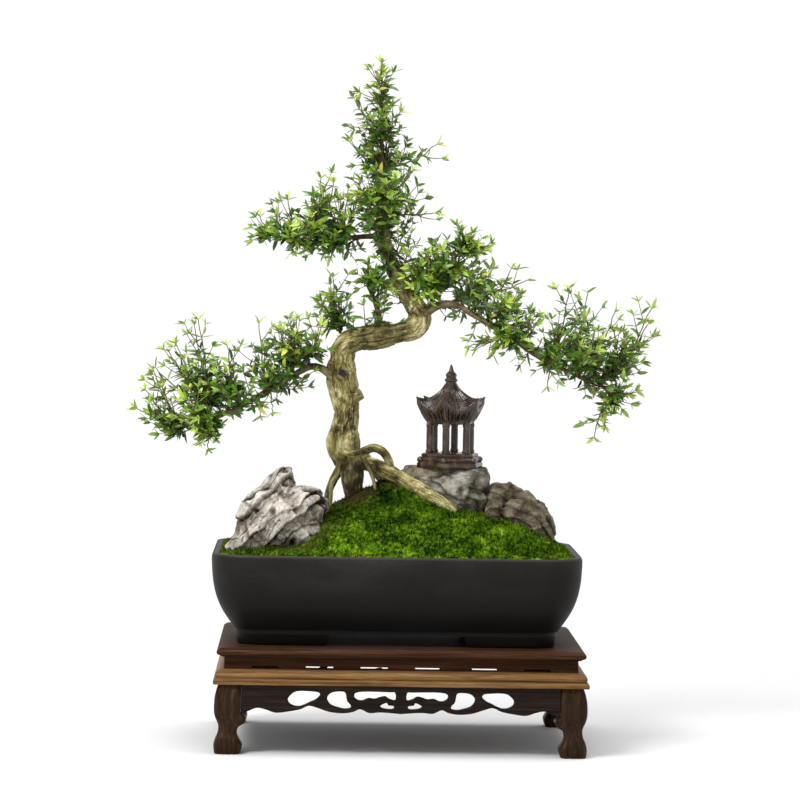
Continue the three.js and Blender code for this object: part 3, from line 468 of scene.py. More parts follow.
def limb_skin(points):
    """A closed tube whose radius swells and sinks by slow waves round and along the limb."""
    line = limb_line(points)
    angle = np.linspace(0, 2 * np.pi, LIMB_SIDES, endpoint=False)[None, :]
    at = np.linspace(0, 1, len(line))[:, None]
    waves = np.sin(2 * angle + 11 * at) + 0.7 * np.sin(3 * angle - 17 * at)
    swell = np.minimum(line[:, 3:] / 12, 1) * 0.045 * waves
    return closed_loft(tube(line[:, :3], line[:, 3:] * (1 + swell), LIMB_SIDES))


wood = new_piece("wood", joined([limb_skin(points) for points in limbs[:-1]]), [])
skin = wood.modifiers.new("one skin", "REMESH")
skin.mode = "VOXEL"
skin.voxel_size = VOXEL_MM * MM
softer = wood.modifiers.new("softer crotches", "SMOOTH")
softer.factor = 0.5
softer.iterations = 3
take_shape(wood)
print("wood:", len(wood.data.vertices), "points after the remesh")

# %% Where each point lies on its limb
LIMB_GAP = 400                    # each limb's run starts this much further, so no two have the same bark
AT_ONCE = 8000                    # points a step, which keeps the table of distances small


def limb_places(points):
    """For each point, its limb's radius there and its place on the limb: how far round on two sides, and
    how far along. The nearest point of all the limbs' lines decides, measured from their skins."""
    rows = []
    for number, limb in enumerate(limbs):
        line = limb_line(limb)
        _, side, across = sides_of(line[:, :3])
        rows.append(np.column_stack([line, side, across, run_of(line[:, :3]) + LIMB_GAP * number]))
    rows = np.concatenate(rows)
    nearest = np.empty(len(points), int)
    for start in range(0, len(points), AT_ONCE):
        some = points[start:start + AT_ONCE]
        distance = np.linalg.norm(some[:, None] - rows[None, :, :3], axis=2) - rows[None, :, 3]
        nearest[start:start + AT_ONCE] = distance.argmin(1)
    row = rows[nearest]
    out = points - row[:, :3]
    place = np.column_stack([(out * row[:, 4:7]).sum(1), (out * row[:, 7:10]).sum(1), row[:, 10]])
    return row[:, 3], place


# %% Bark
BARK_RUN = np.array([1, 1, 0.36])  # the bark's flakes are about three times as long as they are wide


def crevices(points, cell, seed):
    """Narrow valleys where the lattice noise passes through zero: (1 - 2|noise|) to the power 4."""
    return np.clip(1 - 2 * np.abs(lattice_noise(points, cell, seed)), 0, 1) ** 4


def slope(value, start, width):
    """0 at the start, 1 a width further on, straight between. A negative width falls the other way."""
    return np.clip((value - start) / width, 0, 1)


def bark_relief(place, girth):
    """Height of the bark: burls of 17 mm, long flutes and shorter cracks as valleys between ridges, flakes
    and grains. All shrink with the limb's radius. The second value leaves out the burls and the girth."""
    burls = lattice_noise(place * [1, 1, 0.7], 17, 3)
    warped = place * BARK_RUN + 2 * lattice_noise(place, 9, 5)[:, None]
    flutes = crevices(warped * [1, 1, 0.4], 10, 14)
    cracks = crevices(warped * [1, 1, 0.8], 5.5, 11) + 0.5 * crevices(warped, 3.1, 12)
    flakes = np.tanh(5 * lattice_noise(place * [1, 1, 0.55], 4.5, 13))
    grains = lattice_noise(place * [1, 1, 0.6], 1.5, 21)
    scale = np.clip(girth / 13, 0.06, 1)
    height = 0.45 + 0.2 * flakes + 0.3 * grains - 0.6 * flutes - 0.35 * cracks
    return scale * (3 * burls + 1.8 * height), np.clip(height, -1, 1)


def dress_bark(piece, ease):
    """Moves each point out by the bark's relief, and keeps with it what the finish needs: its place on the
    limb, the ridge height, the girth, the painted shade of the leaves, how far it is in the trunk's darker
    foot, and how far it is cut wood."""
    points = points_of(piece.data) / MM - MIDDLE
    girth, place = limb_places(points)
    relief, flake = bark_relief(place, girth)
    points += points_of(piece.data, "normal") * (ease * relief + 0.15)[:, None]
    piece.data.vertices.foreach_set("co", in_metres(points))
    piece.data.shade_smooth()
    x, height = points[:, 0], points[:, 2]
    # painted shade: the shade of the leaves, painted on the limb over the pavilion and on the upper trunk
    on_limb = slope(x, -56, 10) * slope(x, 10, -12) * (np.abs(height - 462) < 24)
    foot_column = slope(height, 325, -14) * slope(x, -36, -6) * slope(girth, 3.4, 1.5)
    from_knot = np.linalg.norm(points - np.array(KNOT[-1][:3]), axis=1)
    for name, values in {
        "bark_place": place * MM,
        "flake": 0.5 + 0.5 * flake,
        "girth": np.clip(girth / 12 + 0.2 * (height < 336), 0, 1),
        "painted_leaf_shade": np.maximum(on_limb * 0.85, 0.7 * slope(height, 492, 14)),
        "darker_foot": foot_column * (0.75 + 0.5 * lattice_noise(points, 7, 31)),
        "cut_face": slope(from_knot, 5.4, -1.2),
    }.items():
        mark(piece.data, name, values)
    print(piece.name, "bark: relief from", round(relief.min(), 2), "to", round(relief.max(), 2), "mm")


dress_bark(wood, 1)
arch = new_piece("arch_root", limb_skin(ARCH_ROOT), [])
dress_bark(arch, 0.5)

# %% [markdown]
# Serissa bark is pale: buff and grey ridges over a darker olive skin, greenish where the roots stay damp
# and red-brown on young wood. The ridge heights kept with the points choose between ridge and crevice, and
# a streaky noise that runs along the limb varies both. The foot of the trunk is darker, and painted shade,
# the shade of the leaves, darkens the limb over the pavilion and the upper trunk to a deeper olive.

# %% Bark finish
def bark_finish():
    """Buff flakes over an olive skin, green near the soil and red-brown where the girth is small."""
    bark = Finish("bark", 0.48, 0.22)
    streaks = bark.noise(bark.place((1, 1, 0.2), "bark_place"), 480, 6, 0.75)
    patches = bark.noise(bark.place(), 45, 5, 0.6)
    height = (bark.kept("flake") * 0.82 + (streaks - 0.5) * 1.5 + (patches - 0.5) * 1.5).held()
    old = bark.ramp(height, (0.08, (0.016, 0.012, 0.004)), (0.27, (0.075, 0.058, 0.017)),
                    (0.42, (0.19, 0.155, 0.046)), (0.6, (0.385, 0.33, 0.135)), (0.84, (0.8, 0.72, 0.43)))
    young = bark.ramp(height, (0.1, (0.02, 0.01, 0.005)), (0.4, (0.07, 0.038, 0.018)),
                      (0.8, (0.16, 0.11, 0.06)))
    aged = bark.mix((bark.kept("girth") * 3.2 - 0.75).held(), young, old)
    low_down = ((0.52 - bark.height(bark.place())) * 6).held()
    damp = ((patches - 0.38) * 3.2).held()
    mossy = bark.mix((low_down * (damp * 0.55)).held(), aged, (0.105, 0.11, 0.016))
    darker_foot_and_leaf_shade = bark.mix((bark.kept("darker_foot") * 1.1).held(), mossy, (0.035, 0.024, 0.009))
    # painted shade: the leaves' shade darkens the limb over the pavilion and the upper trunk
    darker_foot_and_leaf_shade = bark.mix(bark.kept("painted_leaf_shade"), darker_foot_and_leaf_shade, (0.22, 0.21, 0.1), "MULTIPLY")
    weathered = bark.ramp(streaks, (0.35, (0.006, 0.006, 0.006)), (0.65, (0.03, 0.03, 0.032)))
    colour = bark.mix(bark.kept("cut_face"), darker_foot_and_leaf_shade, weathered)
    fine = bark.noise(bark.place((1, 1, 0.5), "bark_place"), 800, 6, 0.75)
    return bark.done(colour, fine + streaks * 1.6, 0.8, 0.9)


BARK = bark_finish()
for piece in (wood, arch):
    piece.data.materials.append(BARK)
    settle(piece, "bark", "trunk_roots_branches")

# %% [markdown]
# ## Leafy sprays
#
# Serissa leaves stand in opposite pairs, each pair crosswise to the last, on thin twigs that end in a tuft.
# They are narrow and pointed, 6 to 21 mm long, dark and glossy when old and yellow-green at the tips. Each
# spray of the frame forks into two shoots. Here the same shoots carry side twigs, and every leaf is a thin
# closed blade with a folded midrib. All leaves of a spray are worked out at once, as one array.

# %% The sprays' forks and tips, in millimetres
SPRAYS = {
    "left_1": [[-233, -8, 352], [-308, -28, 376], [-269, 22, 342]],
    "left_2": [[-209, -14, 363], [-220, -42, 321], [-250, -72, 389]],
    "left_3": [[-203, -15, 366], [-272, -8, 444], [-241, 15, 477]],
    "left_4": [[-181, -19, 379], [-201, -45, 455], [-249, 60, 397]],
    "left_5": [[-153, -20, 394], [-145, -48, 364], [-166, 8, 479]],
    "left_6": [[-128, -17, 410], [-139, -55, 473], [-120, -12, 487]],
    "left_7": [[-106, -11, 422], [-91, -48, 474], [-135, 52, 445]],
    "upper_1": [[-139, -7, 569], [-180, -25, 562], [-170, 15, 598]],
    "upper_2": [[-114, -10, 564], [-136, -15, 620], [-130, -32, 546]],
    "upper_3": [[-92, -9, 566], [-97, 22, 645], [-122, -60, 585]],
    "upper_4": [[-66, -5, 569], [-88, -22, 540], [-95, 58, 601]],
    "middle_1": [[-68, -6, 452], [-83, -8, 534], [-98, 32, 495]],
    "middle_2": [[-42, 8, 515], [-48, 6, 539], [-8, -38, 509]],
    "top_1": [[-29, -8, 721], [-31, -10, 776]],
    "top_2": [[-28, -2, 669], [-60, -18, 732], [-4, -20, 719]],
    "top_3": [[-27, 1, 636], [-72, 15, 684], [43, 10, 681]],
    "top_4": [[-28, 2, 611], [12, -50, 650], [-66, -46, 618]],
    "top_5": [[-27, 3, 588], [41, -15, 599], [-34, 62, 634]],
    "core_1": [[57, 10, 549], [68, 5, 581], [100, -15, 560]],
    "core_2": [[43, 8, 526], [83, -60, 521], [25, 56, 547]],
    "core_3": [[34, 6, 508], [-1, -45, 540], [67, 50, 532]],
    "core_4": [[48, -8, 496], [149, 15, 527], [109, 55, 542]],
    "right_1": [[94, -16, 475], [136, 38, 510], [115, -58, 502]],
    "right_2": [[128, -19, 455], [64, -40, 447], [160, -42, 489]],
    "right_3": [[160, -18, 434], [189, 0, 525], [160, -45, 397]],
    "right_4": [[179, -15, 425], [213, 35, 519], [217, -78, 450]],
    "right_5": [[198, -11, 416], [241, -30, 498], [227, 74, 442]],
    "right_6": [[217, -6, 408], [287, 8, 502], [277, 45, 446]],
    "right_7": [[228, -4, 404], [273, -20, 401], [213, -25, 340]],
}

# %% Shoots, side twigs and where their leaves stand
FORK_REACH = 11                   # a spray forks this far from the middle of its branch
BEND_OUT = 0.6                    # where a shoot bends, as a share of its way sideways
BEND_UP = 0.42                    # and of its way up
NODE_STEP = 9                     # leaf pairs stand about this far apart at the foot of a shoot
STRETCH = 0.8                     # and further apart towards its tip, by up to this share
SIDE_STEP = 7.5                   # how far apart they stand on a side twig
LEVELLED = 0.68                   # leaves turn towards the level: what is left of their rise
SHOOT_LEAVES = (14, 18.5, 15)     # lengths of a shoot's leaves at its foot, its middle and its tip,
TWIG_LEAVES = (12, 16, 13.5)      # of the leaves of a side twig
FRINGE_LEAVES = (13, 17, 14)      # and of those on a twig that grows from a branch
NOT_FALLEN = 0.93                 # the share of leaves that are there
FILLERS = 6                       # shoots that fill the room between a spray's own,
EXTRA = {                         # more of them where the tree is full,
    "left_1": 6, "left_2": 7, "left_5": 3, "upper_1": 2, "upper_3": 5, "upper_4": 8, "top_4": 7, "top_3": 3,
    "core_1": 4, "core_2": 5, "core_3": 5, "right_2": 2, "right_3": 2, "right_5": 5, "right_6": 5,
    "right_7": 5, "middle_1": 3, "middle_2": 3,
}
ALSO = {                          # and the tips of further shoots where a spray is widest
    "left_1": [[-298, -20, 400], [-288, 12, 422], [-276, -32, 404], [-268, 4, 388], [-290, -12, 386]],
    "left_2": [[-244, -52, 404], [-262, -40, 366], [-236, -62, 352], [-214, -30, 340], [-226, -34, 398]],
    "left_3": [[-288, -14, 424], [-264, -24, 434], [-254, 12, 416], [-238, -28, 430], [-250, -20, 398]],
    "left_4": [[-216, -34, 420], [-196, -20, 428], [-226, 20, 414]],
    "upper_4": [[-60, -24, 600], [-52, 10, 618], [-74, -10, 622], [-64, 12, 634], [-50, -14, 638],
                [-82, -16, 604], [-70, -26, 586]],
    "upper_3": [[-94, -8, 632], [-84, 4, 616], [-80, -18, 640], [-108, -16, 608]],
    "core_3": [[6, -32, 530], [14, -36, 542], [0, -28, 554], [26, -24, 560], [10, 20, 548], [2, -42, 514],
               [18, -46, 506], [28, -44, 522], [-6, -36, 528], [10, -34, 500], [34, -40, 510]],
    "core_2": [[22, -30, 556], [40, -34, 560]], "right_2": [[96, -34, 440], [128, -40, 430], [84, -30, 452]],
    "right_4": [[232, -20, 470], [204, -40, 488]],
}
print("sprays:", len(SPRAYS), "with", sum(len(tips) for tips in ALSO.values()), "further shoots")


# %% How shoots and side twigs run
def fork_point(root, tips):
    """The fork stands clear of the wood, between the directions of the shoots."""
    return root + FORK_REACH * unit(unit(tips - root).sum(0))


def shoot_line(fork, tip):
    """A shoot that leaves its fork sideways and turns towards its tip."""
    bend = fork + BEND_OUT * (tip - fork)
    bend[2] = fork[2] + BEND_UP * (tip[2] - fork[2])
    return smooth_line([fork, bend, tip], 5)


def twig_line(foot, direction, length, lift, draw):
    """A side twig: it leaves its foot in the direction and lifts by a share of its length, t squared."""
    t = np.linspace(0, 1, 5)[:, None]
    wander = draw.normal(0, 0.05, 3) * length
    return foot + direction * length * t + ([0, 0, lift * length] + wander) * t ** 2


def round_about(direction, lean, turn):
    """A direction that leans away from the given one by the lean, on the side that the turn picks."""
    side = unit(np.cross(direction, [0.2, 0.9, 0.37]))
    other = np.cross(direction, side)
    return math.cos(lean) * direction + math.sin(lean) * (math.cos(turn) * side + math.sin(turn) * other)


# %% [markdown]
# A pair of leaves stands at each joint of a shoot, a quarter turn on from the pair before it. So a
# shoot is clothed by a walk along it: two leaves half a turn apart, perhaps a side twig with leaves of
# its own, and a quarter turn. A few smaller leaves make the tuft at its tip.

# %% What grows on a shoot
class Foliage:
    """Collects a spray's twigs, each a line with its two radii, and its leaves, each a row of numbers."""

    def __init__(self, seed):
        self.draw = np.random.default_rng(seed)
        self.twigs = []
        self.leaves = []

    def leaf(self, foot, twig, lean, turn, length, young):
        """One leaf: foot, direction, the side that its upper face looks to, length and youth."""
        direction = round_about(twig, lean, turn) * [1, 1, LEVELLED]
        jitter = self.draw.normal(0, 0.22, 3)
        self.leaves.append(np.concatenate([foot, unit(direction + 0.3 * jitter), twig + jitter,
                                           [length * self.draw.uniform(0.82, 1.15), young]]))

    def clothe(self, line, step, start, sizes, young, side_twigs):
        """Leaf pairs along a line, each crosswise to the last, side twigs between and a tuft at its end.
        sizes holds the leaves' lengths at its foot, its middle and its tip."""
        run = run_of(line)
        total = run[-1]
        turn = self.draw.uniform(0, np.pi)
        count = max(int((total - 2 - start) / (step * (1 + STRETCH / 2))), 0) + 1
        spread = np.arange(count) / max(count - 1, 1)
        stations = start + (total - 4 - start) * (spread + STRETCH / 2 * spread ** 2) / (1 + STRETCH / 2)
        for number, at in enumerate(stations[:-1] if count > 1 else stations):
            foot, onward = on_line(line, run, [at, at + 1])
            along = unit(onward - foot)
            share = at / total
            size = np.interp(share, [0, 0.5, 1], sizes)
            for half in (0, np.pi):
                if self.draw.random() < NOT_FALLEN:
                    lean = self.draw.uniform(0.85, 1.35)
                    self.leaf(foot, along, lean, turn + half + self.draw.normal(0, 0.15), size,
                              young * (0.2 + 0.8 * share ** 1.5))
            if side_twigs and self.draw.random() < side_twigs:
                reach = (0.1 + 0.2 * self.draw.random()) * (total - at) + self.draw.uniform(11, 22)
                direction = round_about(along, self.draw.uniform(0.6, 1.05),
                                        turn + (number % 2) * np.pi + 0.4)
                twig = twig_line(foot, direction, reach, 0.25, self.draw)
                self.twigs.append((twig, 0.7, 0.35))
                self.clothe(twig, SIDE_STEP, 5, TWIG_LEAVES, young * (0.4 + 0.6 * share), 0)
            turn += np.pi / 2
        along = unit(line[-1] - line[-2])
        for number in range(self.draw.integers(4, 6)):
            self.leaf(line[-1], along, self.draw.uniform(0.25, 0.95), number * 1.6 + self.draw.normal(0, 0.3),
                      sizes[2] * self.draw.uniform(0.55, 1), young)


# %% All shoots of a spray, and the twigs along a branch
def grow(root, tips, fillers, also, seed):
    """The foliage of a spray: its own shoots, a few that fill the room between them, and their leaves."""
    spray = Foliage(seed)
    root, tips = np.array(root, float), np.array(tips, float)
    fork = fork_point(root, tips) if len(tips) > 1 else root
    if len(tips) > 1:
        spray.twigs.append((np.linspace(root, fork, 4), 1.7, 1.35))
    shares = spray.draw.uniform(0.02, 0.98, fillers)[:, None]
    spread = 0.13 * np.linalg.norm(tips[-1] - fork) * np.array([1, 1.5, 0.9])
    between = shares * tips[0] + (1 - shares) * tips[-1] + spray.draw.normal(0, 1, (fillers, 3)) * spread
    inner = fork + spray.draw.uniform(0.5, 0.9, (fillers, 1)) * (between - fork)
    for number, tip in enumerate([*tips, *inner, *np.array(also, float)]):
        reach = tip - fork
        short = fork + reach * (1 - 10 / max(np.linalg.norm(reach), 20))
        line = shoot_line(fork, short)
        line[1:-1] += spray.draw.normal(0, 0.6, (len(line) - 2, 3))
        spray.twigs.append((line, 1.15, 0.5))
        spray.clothe(line, NODE_STEP, 7, SHOOT_LEAVES, 1, 1 if number < len(tips) else 0.55)
    return spray


def fringe(limb, step, reaches, lift, seed):
    """Short leafy twigs all along a branch, from a quarter of its length on. reaches holds their reach at the
    first and at the last, and lift says how much they rise."""
    fringe_of = Foliage(seed)
    draw = fringe_of.draw
    line = limb_line(limb)[:, :3]
    run = run_of(line)
    for at in np.arange(0.22 * run[-1], run[-1], step):
        reach = np.interp(at / run[-1], [0.22, 1], reaches)
        at = at + draw.uniform(-0.4, 0.4) * step
        foot, onward = on_line(line, run, [at, at + 2])
        aim = draw.normal(0, 1, 3) * [0.6, 1, 0.6] + [0, 0, lift] + 0.6 * unit(onward - foot + 1e-6)
        twig = twig_line(foot, unit(aim), reach * draw.uniform(0.45, 1.2), 0.3, draw)
        fringe_of.twigs.append((twig, 0.9, 0.4))
        fringe_of.clothe(twig, SIDE_STEP, 6, FRINGE_LEAVES, 0.7, 0.55)
    return fringe_of


# %% Leaf blades and twigs as meshes
RINGS_AT = np.array([0, 0.3, 0.68])   # where a blade's rings stand, as shares of its length
POINTS_A_LEAF = 4 * len(RINGS_AT) + 1


def leaf_blades(leaves, draw):
    """All blades at once. Half the width goes as sin(pi t^0.85)^0.8, the midrib droops as t squared, and the
    margins stand higher than the midrib, so each ring is a shallow V with four points."""
    foot, direction, up = leaves[:, 0:3], leaves[:, 3:6], leaves[:, 6:9]
    length, young = leaves[:, 9], leaves[:, 10]
    up = unit(up - (up * direction).sum(1, keepdims=True) * direction)
    across = np.cross(up, direction)
    half = length * draw.uniform(0.135, 0.185, len(leaves))
    droop = length * draw.uniform(-0.04, 0.3, len(leaves))
    t = RINGS_AT[None, :, None]
    wide = np.maximum(np.sin(np.pi * t ** 0.85) ** 0.8, 0.13) * half[:, None, None]
    rib = foot[:, None] + direction[:, None] * length[:, None, None] * t
    rib = rib - up[:, None] * droop[:, None, None] * t ** 2
    raised = up[:, None] * wide * 0.28
    rings = np.stack([
        rib + across[:, None] * wide + raised, rib + up[:, None] * 0.1,
        rib - across[:, None] * wide + raised, rib - up[:, None] * 0.2,
    ], 2)
    tip = foot + direction * length[:, None] - up * droop[:, None]
    points = np.concatenate([rings.reshape(len(leaves), -1, 3), tip[:, None]], 1)
    quads = np.concatenate([grid_quads(len(RINGS_AT), 4), [[0, 3, 2, 1]]])
    last = POINTS_A_LEAF - 5
    corner = np.arange(4)
    triangles = np.stack([last + corner, last + (corner + 1) % 4, np.full(4, POINTS_A_LEAF - 1)], 1)
    shift = (np.arange(len(leaves)) * POINTS_A_LEAF)[:, None, None]
    numbers = {
        "young": np.repeat(young + draw.normal(0, 0.12, len(leaves)), POINTS_A_LEAF),
        "odd": np.repeat(draw.random(len(leaves)), POINTS_A_LEAF),
        "underside": np.tile(np.append(np.tile([0, 0, 0, 1], len(RINGS_AT)), 0), len(leaves)),
    }
    shape = (points.reshape(-1, 3), (quads + shift).reshape(-1, 4), (triangles + shift).reshape(-1, 3))
    return shape, numbers


def leafy_piece(name, spray):
    """Foliage as one mesh: its twigs with the twig finish and its leaves with the leaf finish."""
    twigs = joined([
        closed_loft(tube(line, np.linspace(thick, thin, len(line)), 4)) for line, thick, thin in spray.twigs
    ])
    blades, numbers = leaf_blades(np.array(spray.leaves), spray.draw)
    piece = new_piece(name, joined([twigs, blades]), [LEAF, TWIG], 25)
    mesh = piece.data
    for key, values in numbers.items():
        mark(mesh, key, np.concatenate([np.zeros(len(twigs[0])), values]))
    first = np.empty(len(mesh.polygons), np.int32)
    mesh.polygons.foreach_get("loop_start", first)
    corners = np.empty(len(mesh.loops), np.int32)
    mesh.loops.foreach_get("vertex_index", corners)
    is_twig = corners[first] < len(twigs[0])
    mesh.polygons.foreach_set("material_index", is_twig.astype(np.int32))
    return piece


# %% [markdown]
# A leaf's colour follows its age: deep green inside the tree, bright yellow-green at the tips, with an odd
# yellow one. The underside is paler, and a soft mottling keeps the blades from looking alike.

# %% Leaf and twig finishes
def leaf_finish():
    """Green by age, with a few yellow leaves, a pale underside and fine mottling."""
    leaf = Finish("leaf", 0.36, 0.3)
    mottle = leaf.noise(leaf.place(), 260, 3)
    green = leaf.ramp((leaf.kept("young") + mottle * 0.35 - 0.17).held(), (0.0, (0.013, 0.048, 0.003)),
                      (0.25, (0.042, 0.113, 0.009)), (0.52, (0.105, 0.208, 0.018)),
                      (0.78, (0.2, 0.325, 0.03)), (1.0, (0.36, 0.48, 0.07)))
    rare = ((leaf.kept("odd") - 0.965) * 40).held()
    coloured = leaf.mix(rare, green, (0.5, 0.46, 0.08))
    pale = leaf.mix(0.45, coloured, (0.3, 0.42, 0.2))
    return leaf.done(leaf.mix(leaf.kept("underside"), coloured, pale), mottle, 0.2, 0.4)


LEAF = leaf_finish()
TWIG = grainy_finish("twig", 0.6, 0.2, (500, 4), [          # thin brown bark with a grey bloom
    (0.3, (0.06, 0.045, 0.014)), (0.6, (0.15, 0.125, 0.04)), (0.8, (0.26, 0.24, 0.1))], 0.3, 0.3)

# %% Sprays in place of the frame's, and fringes between them
SPRAY_SEED = 400
FRINGE_SEED = 700
FRINGES = {                       # branch, step, reach at its first and last twig, lift
    "left": (LEFT_BRANCH, 4.6, (44, 38), 0.3), "upper": (UPPER_BRANCH, 4.2, (42, 30), 0.3),
    "right": (RIGHT_BRANCH, 4.8, (38, 42), 0.3), "core": (CORE_BRANCH, 3.4, (46, 34), 0.3),
    "middle": (MIDDLE_BRANCH, 7, (20, 24), 0.9), "top": (TRUNK[-7:], 5, (66, 12), 0.3),
    "bend": (TRUNK[12:16], 7, (24, 30), 2), "rise": (TRUNK[18:23], 5, (46, 46), 0.3),
}
leaf_count = 0
for row, (name, (root, *tips)) in enumerate(SPRAYS.items()):
    spray = grow(root, tips, FILLERS + EXTRA.get(name, 0), ALSO.get(name, []), SPRAY_SEED + row)
    settle(leafy_piece(f"spray_{name}", spray), "leaf", f"leaf_spray_{name}")
    leaf_count += len(spray.leaves)
for row, (name, how) in enumerate(FRINGES.items()):
    spray = fringe(*how, FRINGE_SEED + row)
    settle(leafy_piece(f"fringe_{name}", spray), "leaf")
    leaf_count += len(spray.leaves)
print("leaves:", leaf_count)

# %% [markdown]
# ## Stones
#
# Six weathered limestones lie in the moss. The tall one on the left is pale and deeply creviced, two on the
# right carry the pavilion, and smaller, browner ones lean on them. A stone is a star-shaped skin round its
# middle: its front outline shrinks towards its front and back as a ball does. Its beds lie aslant one over
# the other, with open joints between them, weaker joints square to them, and pits.

# %% Outlines of the stones, seen from the front, in millimetres
STONES = {
    "stone_left": {
        "middle": [-137, -55, 255], "front": 42, "back": 40, "crag": 0.88, "seed": 5,
        "outline": [[-197, 214], [-190, 232], [-188, 254], [-183, 269], [-172, 281], [-155, 294],
                    [-139, 314], [-124, 313], [-121, 297], [-104, 292], [-89, 285], [-82, 268], [-84, 252],
                    [-79, 238], [-84, 214], [-140, 204]],
        "across": [-0.62, 0.25, 0.74], "spacing": 15, "depth": 5.5, "fine": 2.6, "joints": 1,
    },
    "stone_front": {
        "middle": [62, -4, 284], "front": 17, "back": 24, "crag": 0.4, "seed": 71,
        "outline": [[14, 278], [19, 294], [28, 301], [54, 304], [72, 310], [86, 312], [95, 305], [101, 293],
                    [99, 276], [90, 256], [55, 248], [26, 258]],
        "across": [0.45, 0.35, 0.8], "spacing": 21, "depth": 3, "fine": 2, "joints": 0.55,
    },
    "stone_ledge": {
        "middle": [45, 28, 287], "front": 38, "back": 40, "crag": 0.5, "seed": 21,
        "outline": [[-10, 266], [-8, 290], [0, 305], [14, 318], [60, 324], [92, 318], [101, 298], [95, 264],
                    [50, 250], [6, 252]],
        "across": [-0.35, 0.3, 0.9], "spacing": 17, "depth": 3.5, "fine": 2.2, "joints": 0.6,
    },
    "stone_small": {
        "middle": [119, 6, 276], "front": 20, "back": 24, "crag": 0.48, "seed": 33,
        "outline": [[91, 252], [92, 282], [104, 295], [124, 295], [139, 283], [140, 256], [118, 236]],
        "across": [0.5, 0.2, 0.8], "spacing": 11, "depth": 2.2, "fine": 1.6, "joints": 0.4,
    },
    "stone_right": {
        "middle": [144, -14, 250], "front": 32, "back": 36, "crag": 0.8, "seed": 45,
        "outline": [[108, 240], [112, 262], [124, 276], [143, 283], [161, 270], [171, 254], [175, 236],
                    [170, 216], [140, 208], [114, 216]],
        "across": [0.55, 0.3, 0.75], "spacing": 14, "depth": 3.6, "fine": 2.2, "joints": 0.55,
    },
    "stone_low": {
        "middle": [103, -30, 264], "front": 13, "back": 14, "crag": 0.32, "seed": 57,
        "outline": [[93, 258], [95, 273], [103, 278], [111, 272], [113, 254], [104, 244], [95, 248]],
        "across": [-0.3, 0.3, 0.9], "spacing": 9, "depth": 1.5, "fine": 1.1, "joints": 0.3,
    },
}
print("stones:", len(STONES))
PAVILION_BOTTOM = 310
FLAT_TOPPED = ("stone_front", "stone_ledge")   # the pavilion stands on these two


# %% A stone's outline
def solid_draws(seed, count):
    """The draws of the solid model: each is the last times 1664525 plus 1013904223, in 32 bits."""
    values, state = [], seed
    for _ in range(count):
        state = (state * 1664525 + 1013904223) & 0xFFFFFFFF
        values.append(state / 4294967296)
    return np.array(values)


def closed_outline(corners, count):
    """Points evenly spaced round a closed outline with straight sides, as many as count says, then eased
    by their neighbours."""
    loop = np.vstack([corners, corners[:1]])
    run = run_of(loop)
    even = on_line(loop, run, np.linspace(0, run[-1], count, endpoint=False))
    for _ in range(3):
        even = 0.5 * even + 0.25 * (np.roll(even, 1, 0) + np.roll(even, -1, 0))
    return even


# %% Beds, joints and pits
def beds(points, across, spacing, seed):
    """Beds across one direction. The run over them is bent by a slow noise; every bed has a draw of its own,
    and the joint beside it is a narrow valley, exp of minus the square of the way to it, that comes and
    goes."""
    bent = 0.8 * lattice_noise(points, 2.6 * spacing, seed) + 0.35 * lattice_noise(points, spacing, seed + 1)
    run = points @ across / spacing + bent
    bed = np.floor(run)
    part = run - bed
    own = np.sin(bed * 12.9898 + seed) * 43758.5453 % 1
    before = np.sin((bed - 1) * 12.9898 + seed) * 43758.5453 % 1
    blend = np.clip(part / 0.16, 0, 1)
    level = before + (own - before) * blend * blend * (3 - 2 * blend)
    open_here = np.clip(0.45 + 1.4 * lattice_noise(points, 1.7 * spacing, seed + 2), 0, 1)
    joint = np.exp(-(np.minimum(part, 1 - part) / 0.085) ** 2) * open_here
    return level - 0.5 + 0.55 * (0.5 - part), joint


def stone_heights(points, shape):
    """Height over a stone: slanting beds, weaker joints square to them, finer beds within, round pits and
    grit. The second value is how far down a joint or a pit each point lies."""
    across = unit(np.array(shape["across"]))
    sideways = unit(np.cross(across, [0.3, 1, 0.2]))
    seed, depth, spacing = shape["seed"], shape["depth"], shape["spacing"]
    wide, wide_joint = beds(points, across, spacing, seed)
    cross, cross_joint = beds(points, sideways, 1.7 * spacing, seed + 10)
    fine, fine_joint = beds(points, unit(across + 0.35 * sideways), 0.34 * spacing, seed + 20)
    joints = shape["joints"] * (wide_joint + 0.55 * cross_joint) + 0.3 * fine_joint
    pits = np.clip(lattice_noise(points, 11, seed + 3) - 0.5, 0, 1) * 3 * shape["joints"]
    grit = 0.7 * rough(points, 12, 2, seed + 4) + 0.45 * np.abs(rough(points, 5, 3, seed + 6))
    level = wide + 0.6 * cross + 0.22 * fine
    height = depth * (level - 0.8 * joints - pits) + shape["fine"] * grit
    return height, np.clip(0.8 * joints + pits, 0, 1)


